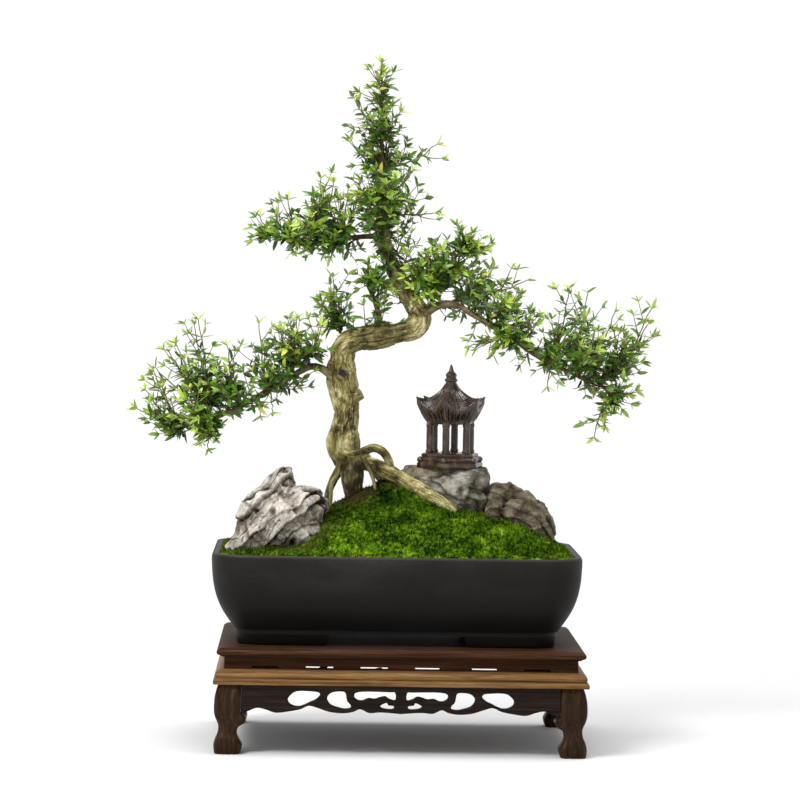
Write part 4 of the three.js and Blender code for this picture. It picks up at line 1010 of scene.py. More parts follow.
# %% A stone's skin
def stone_piece(name, shape, finish, rows, columns):
    """Rings of a stone from its front to its back, each the outline shrunk by the root of 1 - layer
    squared."""
    middle = np.array(shape["middle"], float)
    outline = closed_outline(np.array(shape["outline"], float), columns)
    layer = np.sin(np.linspace(-np.pi / 2, np.pi / 2, rows))[:, None] * 0.9995
    shrink = np.sqrt(1 - layer ** 2)
    depth = np.where(layer < 0, shape["front"], shape["back"])
    out = np.stack([
        (outline[None, :, 0] - middle[0]) * shrink,
        np.broadcast_to(layer * depth, (rows, columns)),
        (outline[None, :, 1] - middle[2]) * shrink,
    ], -1).reshape(-1, 3)
    numbers = solid_draws(shape["seed"], 20).reshape(5, 4)
    waves = np.sin(out @ ((numbers[:, :3] - 0.3) * 0.2).T + 6 * numbers[:, 3]).sum(1)
    heights, hollow = stone_heights(out + middle, shape)
    length = np.linalg.norm(out, axis=1)
    out *= ((length + shape["crag"] * waves + heights) / length)[:, None]
    points = out + middle
    if name in FLAT_TOPPED:
        points[:, 2] = np.minimum(points[:, 2], PAVILION_BOTTOM + 0.1 * heights - 0.4)
    piece = new_piece(f"{name}_rock", closed_loft(points.reshape(rows, columns, 3)), [finish], 70)
    mark(piece.data, "hollow", np.append(hollow, [1, 1]))
    mark(piece.data, "raised", np.append(np.clip(0.5 + 0.6 * heights / shape["depth"], 0, 1), [0.5, 0.5]))
    return piece


# %% [markdown]
# Limestone is never one grey: it has chalky skin, iron stains and dark earth in its joints. How far down a
# joint or a pit each point lies was kept with the points, so the finish can fill the hollows with earth.

# %% Stone finishes
def stone_finish(name, light, middle_tone, dark, stain):
    """Chalky where the stone stands out, darker and stained lower down, earth in the joints, gritty bumps."""
    stone = Finish(name, 0.85, 0.15)
    where = stone.place()
    patches = stone.noise(where, 75, 8, 0.72)
    tone = (stone.kept("raised") * 0.45 + (patches - 0.5) * 1.9 + 0.22).held()
    colour = stone.ramp(tone, (0.15, dark), (0.42, middle_tone), (0.72, light))
    stains = ((stone.noise(where, 38, 5, 0.65) - 0.55) * 5).held()
    colour = stone.mix(stains * 0.6, colour, stain)
    grit = stone.noise(where, 700, 6, 0.75)
    colour = stone.mix(((grit - 0.3) * 0.8).held(), colour, dark, "MULTIPLY")
    colour = stone.mix((stone.kept("hollow") * 1.25).held(), colour, (0.022, 0.017, 0.012))
    return stone.done(colour, grit + patches * 3, 0.9, 1.6)


PALE_STONE = stone_finish("pale_stone", (0.84, 0.79, 0.71), (0.49, 0.44, 0.375), (0.14, 0.118, 0.09),
                          (0.27, 0.2, 0.125))
GREY_STONE = stone_finish("grey_stone", (0.5, 0.47, 0.4), (0.23, 0.21, 0.165), (0.075, 0.065, 0.045),
                          (0.16, 0.13, 0.08))
BROWN_STONE = stone_finish("brown_stone", (0.33, 0.28, 0.195), (0.15, 0.125, 0.08), (0.04, 0.032, 0.019),
                           (0.13, 0.092, 0.048))
for name, finish, rows, columns in [
    ("stone_left", PALE_STONE, 132, 212), ("stone_front", GREY_STONE, 80, 150),
    ("stone_ledge", BROWN_STONE, 70, 150), ("stone_small", BROWN_STONE, 60, 110),
    ("stone_right", BROWN_STONE, 90, 150), ("stone_low", BROWN_STONE, 50, 90),
]:
    slot = "dark_stone" if finish is BROWN_STONE else "stone"
    settle(stone_piece(name, STONES[name], finish, rows, columns), slot, name)

# %% [markdown]
# ## The pavilion
#
# A small open pavilion of dark fired clay stands on the ledge: a stepped six-sided base, six round columns
# and a sweeping roof whose corners turn up, closed by a knob with a pointed cap. The roof is one skin: its
# six-sided rings bulge and lift at the corners, and fine ribs run down it like rows of tiles.

# %% Base, columns and roof
PAVILION_X = 55
PAVILION_Y = 15
PAVILION_TURN = math.radians(16.6)
COLUMN_CIRCLE = 24.4              # how far the columns stand from the middle
BOSS_CIRCLE = 35.2                # how far the buttons on the base's corners do
BOSS_HEIGHT = 318.8
BASE_COLUMNS = 96
ROOF_COLUMNS = 204
FLUTES = 6.5                      # from a corner of the roof to the middle of its side


def side_share(columns):
    """For each point of a six-sided ring, 0 at a corner and 1 at a side's middle, straight between."""
    return np.abs(((np.arange(columns) * 6 / columns + 0.5) % 1) - 0.5) * 2


def six_sided(levels, columns, ribs):
    """Rings of a six-sided form. levels has rows [corner radius, middle radius, height, corner lift]. From a
    corner to the middle of a side the radius follows the straight side, and the lift fades as the power 2.4
    of the way left. ribs is the depth of the flutes, |cos| to the power 0.7, and of the corner ridges, exp of
    minus the square of the way from the corner."""
    angle = np.linspace(0, 2 * np.pi, columns, endpoint=False)[None, :]
    share = side_share(columns)[None, :]
    corner, middle, height, lift = (levels[:, k:k + 1] for k in range(4))
    gap = np.pi / 6
    x, y = middle * math.cos(gap), middle * math.sin(gap)
    straight = corner * y / (np.sin(share * gap) * (corner - x) + np.cos(share * gap) * y)
    ridge = np.exp(-(share / 0.12) ** 2)
    flute = np.abs(np.cos(FLUTES * np.pi * share)) ** 0.7
    radius = straight * (1 + ribs[:, None] * (flute - 0.6 + 0.7 * ridge))
    z = height + lift * (1 - share) ** 2.4 + 20 * ribs[:, None] * ridge
    turn = angle + PAVILION_TURN
    return np.stack([PAVILION_X + radius * np.cos(turn), PAVILION_Y + radius * np.sin(turn), z], -1)


# %% Levels of the base and the roof, and what stands between them
BASE_LEVELS = [[37, 32, 309.8, 0], [38.8, 33.6, 310.2, 0], [39.6, 34.3, 311.6, 0], [39.4, 34.1, 314.4, 0],
               [38.6, 33.4, 315.8, 0], [36.6, 31.7, 316.4, 0], [36, 31.2, 317.2, 0], [36.9, 32, 318.2, 0],
               [36.8, 31.9, 320, 0], [35.6, 30.8, 321, 0], [34.2, 29.6, 321.4, 0], [33.6, 29.1, 322.4, 0],
               [34.4, 29.8, 323.6, 0], [34, 29.4, 325.2, 0], [32, 27.7, 326.2, 0]]
ROOF_LEVELS = [[24, 21, 359.2, 0], [27.4, 24, 359.6, 0], [28.6, 25, 362, 0], [30.4, 26.4, 365, 0],
               [33, 28.3, 367.5, 2.2], [37, 30.4, 370.6, 7.5], [39.7, 31.4, 372.8, 11],
               [41.2, 32.4, 375.4, 12.6], [40.6, 32, 377.6, 12.4], [36, 29.2, 379.4, 9],
               [30, 25, 381.6, 5.6], [24.2, 20.8, 385, 3.4],
               [20, 17.5, 388.6, 2], [15.6, 14, 393, 0.8], [12.4, 11.4, 397, 0.2], [9.6, 9, 401.5, 0],
               [8, 7.7, 404, 0], [6.4, 6.3, 406, 0], [6.4, 6.3, 407.2, 0], [7.7, 7.6, 408.4, 0],
               [7.7, 7.6, 409.8, 0], [6.2, 6.1, 411, 0], [5.9, 5.9, 412.6, 0], [6.5, 6.5, 414.6, 0],
               [5.6, 5.6, 416.8, 0], [3.6, 3.6, 418.6, 0], [2.7, 2.7, 420.6, 0], [2.1, 2.1, 423, 0],
               [1.3, 1.3, 425.4, 0], [0.4, 0.4, 427, 0]]


def corner_place(number, reach, height):
    """The place that far out from the pavilion's middle towards one of its corners."""
    angle = PAVILION_TURN + number * np.pi / 3
    out = np.array([math.cos(angle), math.sin(angle), 0])
    return np.array([PAVILION_X, PAVILION_Y, height]) + reach * out


def column_skin(number):
    """A round column that swells slightly in its middle, with a ring at its foot and its head."""
    z = np.array([324, 326.2, 327.4, 329.2, 330.2, 336, 343, 350, 355.5, 356.6, 358.4, 359.6, 362])
    radius = [4.4, 4.4, 4.8, 4.8, 4, 4.1, 4.1, 4.05, 3.9, 4.5, 4.5, 4, 4]
    line = corner_place(number, COLUMN_CIRCLE, 0) + z[:, None] * [0, 0, 1]
    return closed_loft(tube(line, radius, 20))


def boss_skin(number):
    """A flattened button on a corner of the base: an ellipse turned about the way out."""
    swing = np.linspace(-np.pi / 2, np.pi / 2, 9)
    line = corner_place(number, BOSS_CIRCLE + 4.2 * np.sin(swing)[:, None], BOSS_HEIGHT)
    return closed_loft(tube(line, 3.7 * np.cos(swing) + 0.02, 16))


base_levels = np.array(BASE_LEVELS)
roof_levels = smooth_line(ROOF_LEVELS, 3)
roof_height = roof_levels[:, 2]
on_tiles = slope(roof_height, 376, 3) * slope(roof_height, 402, -8)
under_eaves = slope(roof_height, 361, 3) * slope(roof_height, 374, -3)
roof_ribs = 0.05 * on_tiles + 0.062 * under_eaves
valleys = 1 - np.abs(np.cos(FLUTES * np.pi * side_share(ROOF_COLUMNS)))
valleys = valleys[None, :] * np.clip(roof_ribs / 0.05, 0, 1)[:, None]
# the roof's points follow the base's, which end with the middles of its first and last ring
base_count = BASE_COLUMNS * len(base_levels) + 2
pavilion_shape = joined([
    closed_loft(six_sided(base_levels, BASE_COLUMNS, np.zeros(len(base_levels)))),
    closed_loft(six_sided(roof_levels, ROOF_COLUMNS, roof_ribs)),
    *[column_skin(number) for number in range(6)],
    *[boss_skin(number) for number in range(6)],
])

# %% [markdown]
# Fired clay of this colour is nearly black, and brown where hands have worn it. How deep each point of
# the roof lies between two flutes is kept with it, so the finish can paint shade into the valleys.

# %% Pavilion finish
def fired_clay_finish():
    """Near-black brown clay, polished by its firing, with lighter worn spots, small dents and painted
    shade in the roof's valleys.
    """
    clay = Finish("pavilion_clay", 0.3, 0.5)
    where = clay.place()
    patches = clay.noise(where, 110, 5, 0.6)
    colour = clay.ramp(patches, (0.3, (0.014, 0.0072, 0.0042)), (0.52, (0.042, 0.024, 0.0145)),
                       (0.75, (0.14, 0.09, 0.055)))
    # painted shade in the valleys between the roof's flutes
    colour = clay.mix(clay.kept("valley_shade") * 0.85, colour, (0.006, 0.003, 0.002))
    clay.give("Roughness", patches * 0.3 + 0.12)
    return clay.done(colour, clay.noise(where, 700, 4) + patches * 3, 0.3, 0.45)


pavilion = new_piece("clay_pavilion", pavilion_shape, [fired_clay_finish()], 38)
painted_valley_shade = np.zeros(len(pavilion_shape[0]))
painted_valley_shade[base_count:base_count + valleys.size] = valleys.ravel()
mark(pavilion.data, "valley_shade", painted_valley_shade)
settle(pavilion, "pavilion_clay", "pavilion")

# %% [markdown]
# ## The pot
#
# The pot is a deep rounded rectangle of dark unglazed clay. Its wall bellies out from a narrow foot to the
# rim, and it stands on four low corner feet. In plan it is a rectangle with round corners at every height,
# so the whole pot is one profile carried round such rings: up the outside, over the rim and down inside.

# %% Rings round a rounded rectangle
POT_X = -5.4
POT_HALF_X = 205.7
POT_HALF_Y = 135
POT_CORNER = 46
# the wall's outside: its height, and how far it stands inside its widest line
POT_PROFILE = [[134, 25], [138.5, 22], [146, 17], [154, 12], [163, 7.7], [174, 4], [188, 1.3], [204, 0],
               [215, 0], [217.5, 1.2]]
POT_RIM = 217.5
POT_WALL = 8
POT_FLOOR = 142
INNER_RIM = 210
BOARD_TOP = 116.5
FOOT_GAP_X = 69                   # half the way between the feet along the pot
FOOT_GAP_Y = 42                   # and across it
CORNERS = [(1, 1), (-1, 1), (-1, -1), (1, -1)]


def rounded_ring(middle_x, middle_y, half_x, half_y, radius, z, per_corner, per_side):
    """Points round a rectangle whose corners are quarter circles, with further points on its straight sides.
    half_x, half_y, radius and z may each be a column, one row to a ring."""
    half_x, half_y, radius, z = (np.atleast_1d(np.asarray(v, float))[:, None]
                                 for v in (half_x, half_y, radius, z))
    rings = []
    for corner, (sx, sy) in enumerate(CORNERS):
        angle = (corner + np.linspace(0, 1, per_corner))[None, :] * np.pi / 2
        x = middle_x + sx * (half_x - radius) + radius * np.cos(angle)
        y = middle_y + sy * (half_y - radius) + radius * np.sin(angle)
        rings.append(np.stack([x, y, np.broadcast_to(z, x.shape)], -1))
    share = np.linspace(0, 1, per_side + 2)[1:-1][None, :, None]
    sides = [a[:, -1:] * (1 - share) + b[:, :1] * share for a, b in zip(rings, rings[1:] + rings[:1])]
    return np.concatenate([part for pair in zip(rings, sides) for part in pair], 1)


def pot_rings(inset, z, per_corner=18, per_side=24):
    """Rings of the pot, each its widest outline moved in by the inset."""
    inset = np.atleast_1d(np.asarray(inset, float))
    radius = np.maximum(POT_CORNER - 0.7 * inset, 18)
    return rounded_ring(POT_X, 0, POT_HALF_X - inset, POT_HALF_Y - inset, radius, z, per_corner, per_side)


# %% The pot's wall and feet
def inset_at(z):
    """How far the outside of the wall stands inside the widest line at a height."""
    heights, insets = np.array(POT_PROFILE).T
    return np.interp(z, heights, insets)


def pot_wall():
    """One closed profile: out along the underside, up the wall, over a rounded rim, down inside and in
    again."""
    outside = smooth_line([[z, inset, 0] for z, inset in POT_PROFILE], 5)[:, :2]
    swing = np.linspace(0.15 * np.pi, 0.95 * np.pi, 9)
    half = (POT_WALL - 1.2) / 2
    rim = np.column_stack([POT_RIM - 1.6 + 1.6 * np.sin(swing), 1.2 + half - half * np.cos(swing)])
    inner_z = np.linspace(INNER_RIM + 2, POT_FLOOR + 1, 12)
    inside = np.column_stack([inner_z, inset_at(np.minimum(inner_z, INNER_RIM)) + POT_WALL])
    under = np.array([[134, 110], [134, 60], [134, 30], [134.2, 26.2]])
    floor = np.array([[POT_FLOOR, 40], [POT_FLOOR, 110]])
    profile = np.vstack([under, outside, rim, inside, floor])
    return closed_loft(pot_rings(profile[:, 1], profile[:, 0]))


def pot_foot(sign_x, sign_y):
    """A corner foot: a rectangle carried round the corner of the pot's foot line, its ends sloping in."""
    rows = 40
    ring = pot_rings([27, 29], [134.5, BOARD_TOP], 18, 60)
    x, y = ring[1, :, 0] - POT_X, ring[1, :, 1]
    keep = (x * sign_x > FOOT_GAP_X) & (y * sign_y > FOOT_GAP_Y)
    numbers = np.flatnonzero(keep)
    # the corner that holds the ring's seam: its numbers go on from the end to the beginning
    if numbers[-1] - numbers[0] >= len(keep) - 1:
        gap = np.flatnonzero(np.diff(numbers) > 1)[0]
        numbers = np.concatenate([numbers[gap + 1:], numbers[:gap + 1]])
    at = np.linspace(0, len(numbers) - 1, rows)
    top, foot = (on_line(ring[k][numbers], np.arange(len(numbers)), at) for k in (0, 1))
    along = unit(np.gradient(foot, axis=0))
    inward = np.cross([0, 0, 1], along)
    drawn_in = 7 * (np.clip(1 - at / 3, 0, 1) - np.clip(1 - (at[-1] - at) / 3, 0, 1))[:, None]
    low = foot + along * drawn_in
    rings = np.stack([top, low + [0, 0, 1.5], low + inward * 1.5, low + inward * 20, top + inward * 22], 1)
    return closed_loft(rings[:, ::-1])


pot_shape = joined([pot_wall(), *[pot_foot(*signs) for signs in CORNERS]])
# a low band under the wall joins the feet
band_shape = closed_loft(pot_rings([31, 27, 27, 31], [129.5, 129, 135, 136]))
print("pot:", np.ptp(pot_shape[0], 0).round(1), "mm")

# %% [markdown]
# Unglazed clay of this dark kind has a fine open grain and a satin skin. Both are in the finish, with
# painted shade on the lower wall, which faces down, and a painted highlight along the rim: the wall itself
# is plain.

# %% Pot finish
def pot_finish():
    """Charcoal-brown clay with a fine speckle, faint wipe marks, painted shade on the lower wall and a
    painted highlight along the rim.
    """
    clay = Finish("pot_clay", 0.5, 0.12)
    where = clay.place()
    speckle = clay.noise(where, 1500, 3, 0.6)
    clouds = clay.noise(clay.place((0.35, 1, 1)), 22, 5, 0.6)
    colour = clay.ramp(speckle * 0.4 + clouds * 0.6, (0.34, (0.007, 0.006, 0.0055)),
                       (0.5, (0.0145, 0.0128, 0.012)), (0.66, (0.032, 0.0285, 0.027)))
    height = clay.height(where)
    # painted shade: the lower wall, which faces down, is darkened towards near-black
    clear_of_painted_shade = ((height - 0.17) * 22).held()
    colour = clay.mix(clear_of_painted_shade, clay.mix(0.8, colour, (0.004, 0.003, 0.002)), colour)
    # painted highlight: a lighter line along the top of the rim
    rim_highlight = ((height - 0.2145) * 300).held()
    colour = clay.mix(rim_highlight * 0.6, colour, (0.06, 0.053, 0.046))
    clay.give("Roughness", clouds * 0.3 + 0.38)
    return clay.done(colour, speckle + clay.noise(where, 320, 4), 0.25, 0.35)


POT_CLAY = pot_finish()
settle(new_piece("clay_pot", pot_shape, [POT_CLAY], 50), "pot_clay", "pot")
settle(new_piece("foot_band", band_shape, [POT_CLAY], 50), "pot_clay")

# %% [markdown]
# ## Soil and moss
#
# The pot is filled with a mound of soil, highest at the trunk's foot, and the moss is a carpet over it.
# Moss is a crowd of tiny cushions: the carpet here is a fine grid whose points rise and sink by noise at
# four sizes. The grid is a rectangle drawn in towards the round corners, so its rim follows the pot's wall
# exactly. Short three-sided spikes stand on it, because moss shows its leaves at every edge.

# %% The moss carpet
MOUND_BASE = 214
SWELL_HEIGHT = 9                  # the mound: a low swell over the whole pot,
DOME_HEIGHT = 38                  # a broad dome round the trunk's foot
SHOULDER_HEIGHT = 33              # and a shoulder under the thick root
SWELLING = 1.8                    # the cushions stand this far over the mound's own line
MOSS_THICKNESS = 3.5
MOSS_ROWS, MOSS_COLUMNS = 102, 154


def bell(x, y, at_x, at_y, wide, deep):
    """Exp of minus the squares of both distances from a place, each measured in its own unit."""
    return np.exp(-((x - at_x) / wide) ** 2 - ((y - at_y) / deep) ** 2)


def mound_height(x, y):
    """The swell falls off as the sixth powers of its distances, the dome as their cubes, steeper on the left,
    and the shoulder as a bell, wider on the left."""
    swell = np.maximum(0, 1 - ((x - POT_X) / 195) ** 6 - (y / 126) ** 6)
    dx = np.abs(x + 20) / np.where(x > -20, 205, 110)
    dy = np.abs(y - 5) / 125
    dome = np.maximum(0, 1 - dx ** 3 - dy ** 3) ** 0.8
    shoulder = bell(x, y, 0, 2, np.where(x > 0, 42, 60), 40)
    return MOUND_BASE + SWELL_HEIGHT * swell + DOME_HEIGHT * dome + SHOULDER_HEIGHT * shoulder


def root_shade(points):
    """Painted shade among the roots: a bell over the foot of the trunk."""
    return bell(points[:, 0], points[:, 1], -40, -2, 38, 30)


# %% The carpet's grid
def moss_carpet(rows, columns):
    """A grid over the pot's inside: each place of a plain rectangle is drawn in towards the middle, as far as
    the round corner is nearer than the square one. The height is the mound plus noise of four sizes."""
    inset = inset_at(INNER_RIM) + POT_WALL + 0.3
    half = np.array([POT_HALF_X - inset, POT_HALF_Y - inset])
    corner = max(POT_CORNER - 0.7 * inset, 18)
    across = np.linspace(-1, 1, columns)[None, :] * half[0] + np.zeros((rows, 1))
    deep = np.linspace(-1, 1, rows)[:, None] * half[1] + np.zeros((1, columns))
    flat = np.stack([across, deep], -1).reshape(-1, 2)
    size = np.abs(flat) / half
    share = np.maximum(size.max(1), 1e-9)[:, None]
    edge = flat / share
    centre = half - corner
    beyond = (np.abs(edge) > centre).all(1)
    way = unit(np.abs(edge))
    middle_way = (way * centre).sum(1)
    reach = middle_way + np.sqrt(np.maximum(middle_way ** 2 - (centre ** 2).sum() + corner ** 2, 0))
    factor = np.where(beyond, reach / np.linalg.norm(edge, axis=1), 1)
    x, y = (flat * factor[:, None]).T
    x = x + POT_X
    points = np.column_stack([x, y, mound_height(x, y)])
    lumps = 1.6 * lattice_noise(points, 16, 61) + 1.3 * lattice_noise(points, 6, 62)
    tufts = np.abs(lattice_noise(points, 3.6, 63)) + 0.8 * lattice_noise(points, 2.1, 64)
    points[:, 2] += SWELLING + lumps + 1.9 * tufts
    # the tufts' colour is darkened by painted shade among the roots
    return points.reshape(rows, columns, 3), lumps, tufts - 0.9 * root_shade(points)


# %% Moss and soil as closed skins
def slab(top, under):
    """Two grids of points as one closed skin: the upper one, the lower one turned over, and a strip round."""
    rows, columns = top.shape[:2]
    row, column = np.meshgrid(np.arange(rows - 1), np.arange(columns - 1), indexing="ij")
    here = (row * columns + column).ravel()
    faces = np.stack([here, here + 1, here + columns + 1, here + columns], 1)
    count = rows * columns
    front = np.arange(columns)
    rim = np.concatenate([front, front[-1] + columns * np.arange(1, rows),
                          (rows - 1) * columns + front[-2::-1], columns * np.arange(rows - 2, 0, -1)])
    following = np.roll(rim, -1)
    strip = np.stack([rim, rim + count, following + count, following], 1)
    points = np.concatenate([top.reshape(-1, 3), under.reshape(-1, 3)])
    return points, np.concatenate([faces, faces[:, ::-1] + count, strip]), NO_TRIANGLES


def moss_shape(top):
    """The carpet's upper face over the same grid, its thickness under the mound's line."""
    under = top.copy()
    under[..., 2] = mound_height(top[..., 0], top[..., 1]) - MOSS_THICKNESS
    return slab(top, under)


def soil_shape(rows, columns):
    """The fill: its top 4.3 mm under the mound's line, its foot drawn in as the pot's inside narrows."""
    top = moss_carpet(rows, columns)[0]
    top[..., 2] = mound_height(top[..., 0], top[..., 1]) - 4.3
    under = top.copy()
    under[..., 0] = POT_X + 0.9 * (top[..., 0] - POT_X)
    under[..., 1] = 0.85 * top[..., 1]
    under[..., 2] = POT_FLOOR + 4
    return slab(top, under)


# %% The moss's blades
def moss_blades(top, count, seed):
    """Tiny three-sided spikes that lean every way, their feet sunk in the carpet: base corners on a circle of
    0.8 mm, the tip 2 to 4.5 mm up."""
    draw = np.random.default_rng(seed)
    spot = draw.uniform(1, [MOSS_ROWS - 2, MOSS_COLUMNS - 2], (count, 2))
    row, column = spot.astype(int).T
    part = spot - spot.astype(int)
    foot = (top[row, column] * (1 - part[:, :1]) + top[row + 1, column] * part[:, :1])
    foot = foot + part[:, 1:] * (top[row, column + 1] - top[row, column])
    lean = draw.normal(0, 0.5, (count, 3)) * [1, 1, 0]
    tip = foot + unit(lean + [0, 0, 1]) * draw.uniform(2, 4.5, (count, 1))
    angle = draw.uniform(0, 2 * np.pi, (count, 1)) + np.arange(3) * 2 * np.pi / 3
    corners = foot[:, None] + np.stack([0.8 * np.cos(angle), 0.8 * np.sin(angle), 0 * angle - 0.6], -1)
    points = np.concatenate([corners, tip[:, None]], 1).reshape(-1, 3)
    faces = np.array([[0, 1, 3], [1, 2, 3], [2, 0, 3], [2, 1, 0]])
    triangles = (4 * np.arange(count)[:, None, None] + faces).reshape(-1, 3)
    # the blades' tones are darkened by painted shade among the roots
    tones = draw.random(count) - 0.6 * root_shade(foot)
    return (points, np.zeros((0, 4), int), triangles), np.repeat(tones, 4)


# %% Moss and soil finishes
def moss_finish():
    """Bright green on the tufts, deep green between them, brown where a cushion has dried, and thin over bare
    earth at the foot of the trunk and round the pale stone."""
    moss = Finish("moss", 0.9, 0.05)
    where = moss.place()
    fuzz = moss.noise(where, 210, 7, 0.85)
    cushions = moss.noise(where, 42, 5, 0.65)
    height = (moss.kept("tuft_and_root_shade") * 0.62 + (fuzz - 0.5) * 2.6 + (cushions - 0.5) * 1.5).held()
    green = moss.ramp(height, (0.06, (0.004, 0.012, 0.0006)), (0.26, (0.018, 0.05, 0.001)),
                      (0.48, (0.07, 0.155, 0.003)), (0.7, (0.17, 0.29, 0.01)), (0.95, (0.36, 0.46, 0.04)))
    dry = ((moss.noise(where, 30, 5, 0.7) - 0.58) * 6).held()
    colour = moss.mix(dry, green, moss.mix(0.7, green, (0.12, 0.07, 0.018)))
    colour = moss.mix(moss.kept("shaded"), colour, (0.36, 0.46, 0.3), "MULTIPLY")
    patchy = ((cushions - 0.4) * 6).held()
    colour = moss.mix(moss.kept("bare") * patchy, colour, (0.062, 0.044, 0.014))
    return moss.done(colour, fuzz + moss.noise(where, 330, 4, 0.7), 1.0, 2.4)


# %% The carpet, its blades and the soil
def mark_moss(piece, tufts):
    """How far each point is a tuft's tip, less painted shade among the roots, how far it lies in the shade
    of the roots, and how bare it is: a bell over the foot of the trunk, and a bell across the ellipse round
    the pale stone."""
    x, y, _ = (points_of(piece.data) / MM - MIDDLE).T
    from_stone = np.hypot((x + 135) / 60, (y + 55) / 50)
    bare = 0.7 * np.exp(-((from_stone - 1) / 0.2) ** 2) + bell(x, y, -50, -16, 34, 22)
    mark(piece.data, "tuft_and_root_shade", tufts)
    mark(piece.data, "shaded", 0.85 * bell(x, y, -20, -34, 62, 42))
    mark(piece.data, "bare", np.clip(bare, 0, 1))


MOSS_BLADES = 27000
MOSS_SEED = 77
SOIL_ROWS, SOIL_COLUMNS = 34, 52
MOSS = moss_finish()
SOIL = grainy_finish("soil", 0.95, 0.2, (420, 5, 0.7), [    # dark moist grains
    (0.3, (0.012, 0.008, 0.005)), (0.7, (0.09, 0.055, 0.03))], 0.8, 1.5)
moss_top, lumps, tufts = moss_carpet(MOSS_ROWS, MOSS_COLUMNS)
carpet = new_piece("moss_carpet", moss_shape(moss_top), [MOSS], 180)
mark_moss(carpet, np.tile(np.clip(0.5 + 0.35 * tufts + 0.08 * lumps, 0, 1), 2))
settle(carpet, "moss", "moss")
blade_shape, blade_tones = moss_blades(moss_top, MOSS_BLADES, MOSS_SEED)
blades = new_piece("moss_blades", blade_shape, [MOSS], 20)
mark_moss(blades, 0.35 + 0.6 * blade_tones)
settle(blades, "moss")
settle(new_piece("soil_fill", soil_shape(SOIL_ROWS, SOIL_COLUMNS), [SOIL], 180), "soil", "soil")

# %% [markdown]
# Two discs of plastic mesh over the drain holes keep the soil in. They are flat and simple, so the
# frame's own pieces stay and only get a finish.

# %% Drain meshes
def repaint(name, finish):
    """Gives a node of the frame this finish."""
    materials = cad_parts[name].data.materials
    materials.clear()
    materials.append(finish)


DRAIN_MESH = grainy_finish("drain_mesh", 0.6, 0.4, (900, 2), [   # dull black plastic with a fine weave
    (0.3, (0.012, 0.013, 0.014)), (0.7, (0.03, 0.032, 0.035))], 0.3, 0.3)
for number in (1, 2):
    repaint(f"drain_mesh_{number}", DRAIN_MESH)

# %% [markdown]
# ## The stand
#
# The stand is a low carved table of dark red-brown wood: a board with a half-round edge, a recessed waist
# pierced by slots, a lighter two-step moulding, aprons with openwork leaves, and four bowed legs on claw
# feet. Its long pieces are profiles carried along a line; the aprons are flat outlines with holes, filled,
# thickened and rounded at their edges, as a fretsaw and a file would leave them.

# %% Wood finish
def wood_finish(name, run, tones, roughness, shine=0.1):
    """Polished wood: long fibres and wider bands that run along one axis, with small pores."""
    plank = Finish(name, roughness, shine)
    stretch = tuple(0.03 if axis == run else 1 for axis in "XYZ")
    fibres = plank.noise(plank.place(stretch), 1300, 6, 0.65)
    bands = plank.noise(plank.place(stretch), 240, 4, 0.55)
    grain = fibres * 0.45 + bands * 0.55
    plank.give("Roughness", fibres * 0.22 + (roughness - 0.1))
    return plank.done(plank.ramp(grain, *zip((0.34, 0.46, 0.56, 0.68), tones)), grain, 0.3, 0.5)


DARK_TONES = [(0.003, 0.001, 0.001), (0.007, 0.0034, 0.002), (0.016, 0.0085, 0.005), (0.042, 0.022, 0.012)]
EDGE_TONES = [(0.012, 0.0045, 0.002), (0.03, 0.013, 0.0062), (0.058, 0.027, 0.0135), (0.11, 0.058, 0.031)]
WAIST_TONES = [(0.009, 0.003, 0.001), (0.021, 0.0068, 0.0019), (0.036, 0.013, 0.0042), (0.065, 0.028, 0.01)]
LEG_TONES = [(0.008, 0.003, 0.001), (0.018, 0.008, 0.003), (0.034, 0.017, 0.007), (0.078, 0.044, 0.024)]
TAN_TONES = [(0.042, 0.018, 0.0055), (0.105, 0.05, 0.0155), (0.2, 0.105, 0.036), (0.31, 0.182, 0.072)]


def both_ways(name, *how):
    """The finish twice, for pieces that run along X and along Y."""
    return {run: wood_finish(f"{name}_{run.lower()}", run, *how) for run in "XY"}


DARK_WOOD = both_ways("stand_wood", DARK_TONES, 0.34)
BOARD_WOOD = wood_finish("board_wood", "X", EDGE_TONES, 0.5, 0.03)
WAIST_WOOD = both_ways("waist_wood", WAIST_TONES, 0.4, 0.05)
LEG_WOOD = wood_finish("leg_wood", "Z", LEG_TONES, 0.4)
TAN_WOOD = both_ways("moulding_wood", TAN_TONES, 0.4)

# %% Board and moulding
STAND_HALF_X = 206.6
STAND_HALF_Y = 150
LEG_TOP = 77
MOULDING_TOP = 93.5
WAIST_TOP = 107
SIDES = {"front": 0, "right": 1, "back": 2, "left": 3}


def quarter_turned(points, turns):
    """Points turned about the stand's middle by quarter turns, counter-clockwise from above."""
    cosine, sine = [(1, 0), (0, 1), (-1, 0), (0, -1)][turns]
    x, y = points[..., 0], points[..., 1]
    return np.stack([cosine * x - sine * y, sine * x + cosine * y, points[..., 2]], -1)


def board_skin():
    """Rings up the board: a half-round edge between two thin fillets, then the flat top."""
    swing = np.linspace(-np.pi / 2, np.pi / 2, 11)
    z = np.concatenate([[WAIST_TOP, WAIST_TOP + 0.8], 112 + 3.2 * np.sin(swing),
                        [115.6, 116.2, BOARD_TOP, BOARD_TOP]])
    inset = np.concatenate([[9, 8], 6.5 - 3 * np.cos(swing), [6.6, 7, 8, 24]])
    return closed_loft(rounded_ring(0, 0, STAND_HALF_X - inset, STAND_HALF_Y - inset, 2.5, z, 5, 12))


settle(new_piece("board", board_skin(), [BOARD_WOOD], 40), "stand_wood", "stand_board")

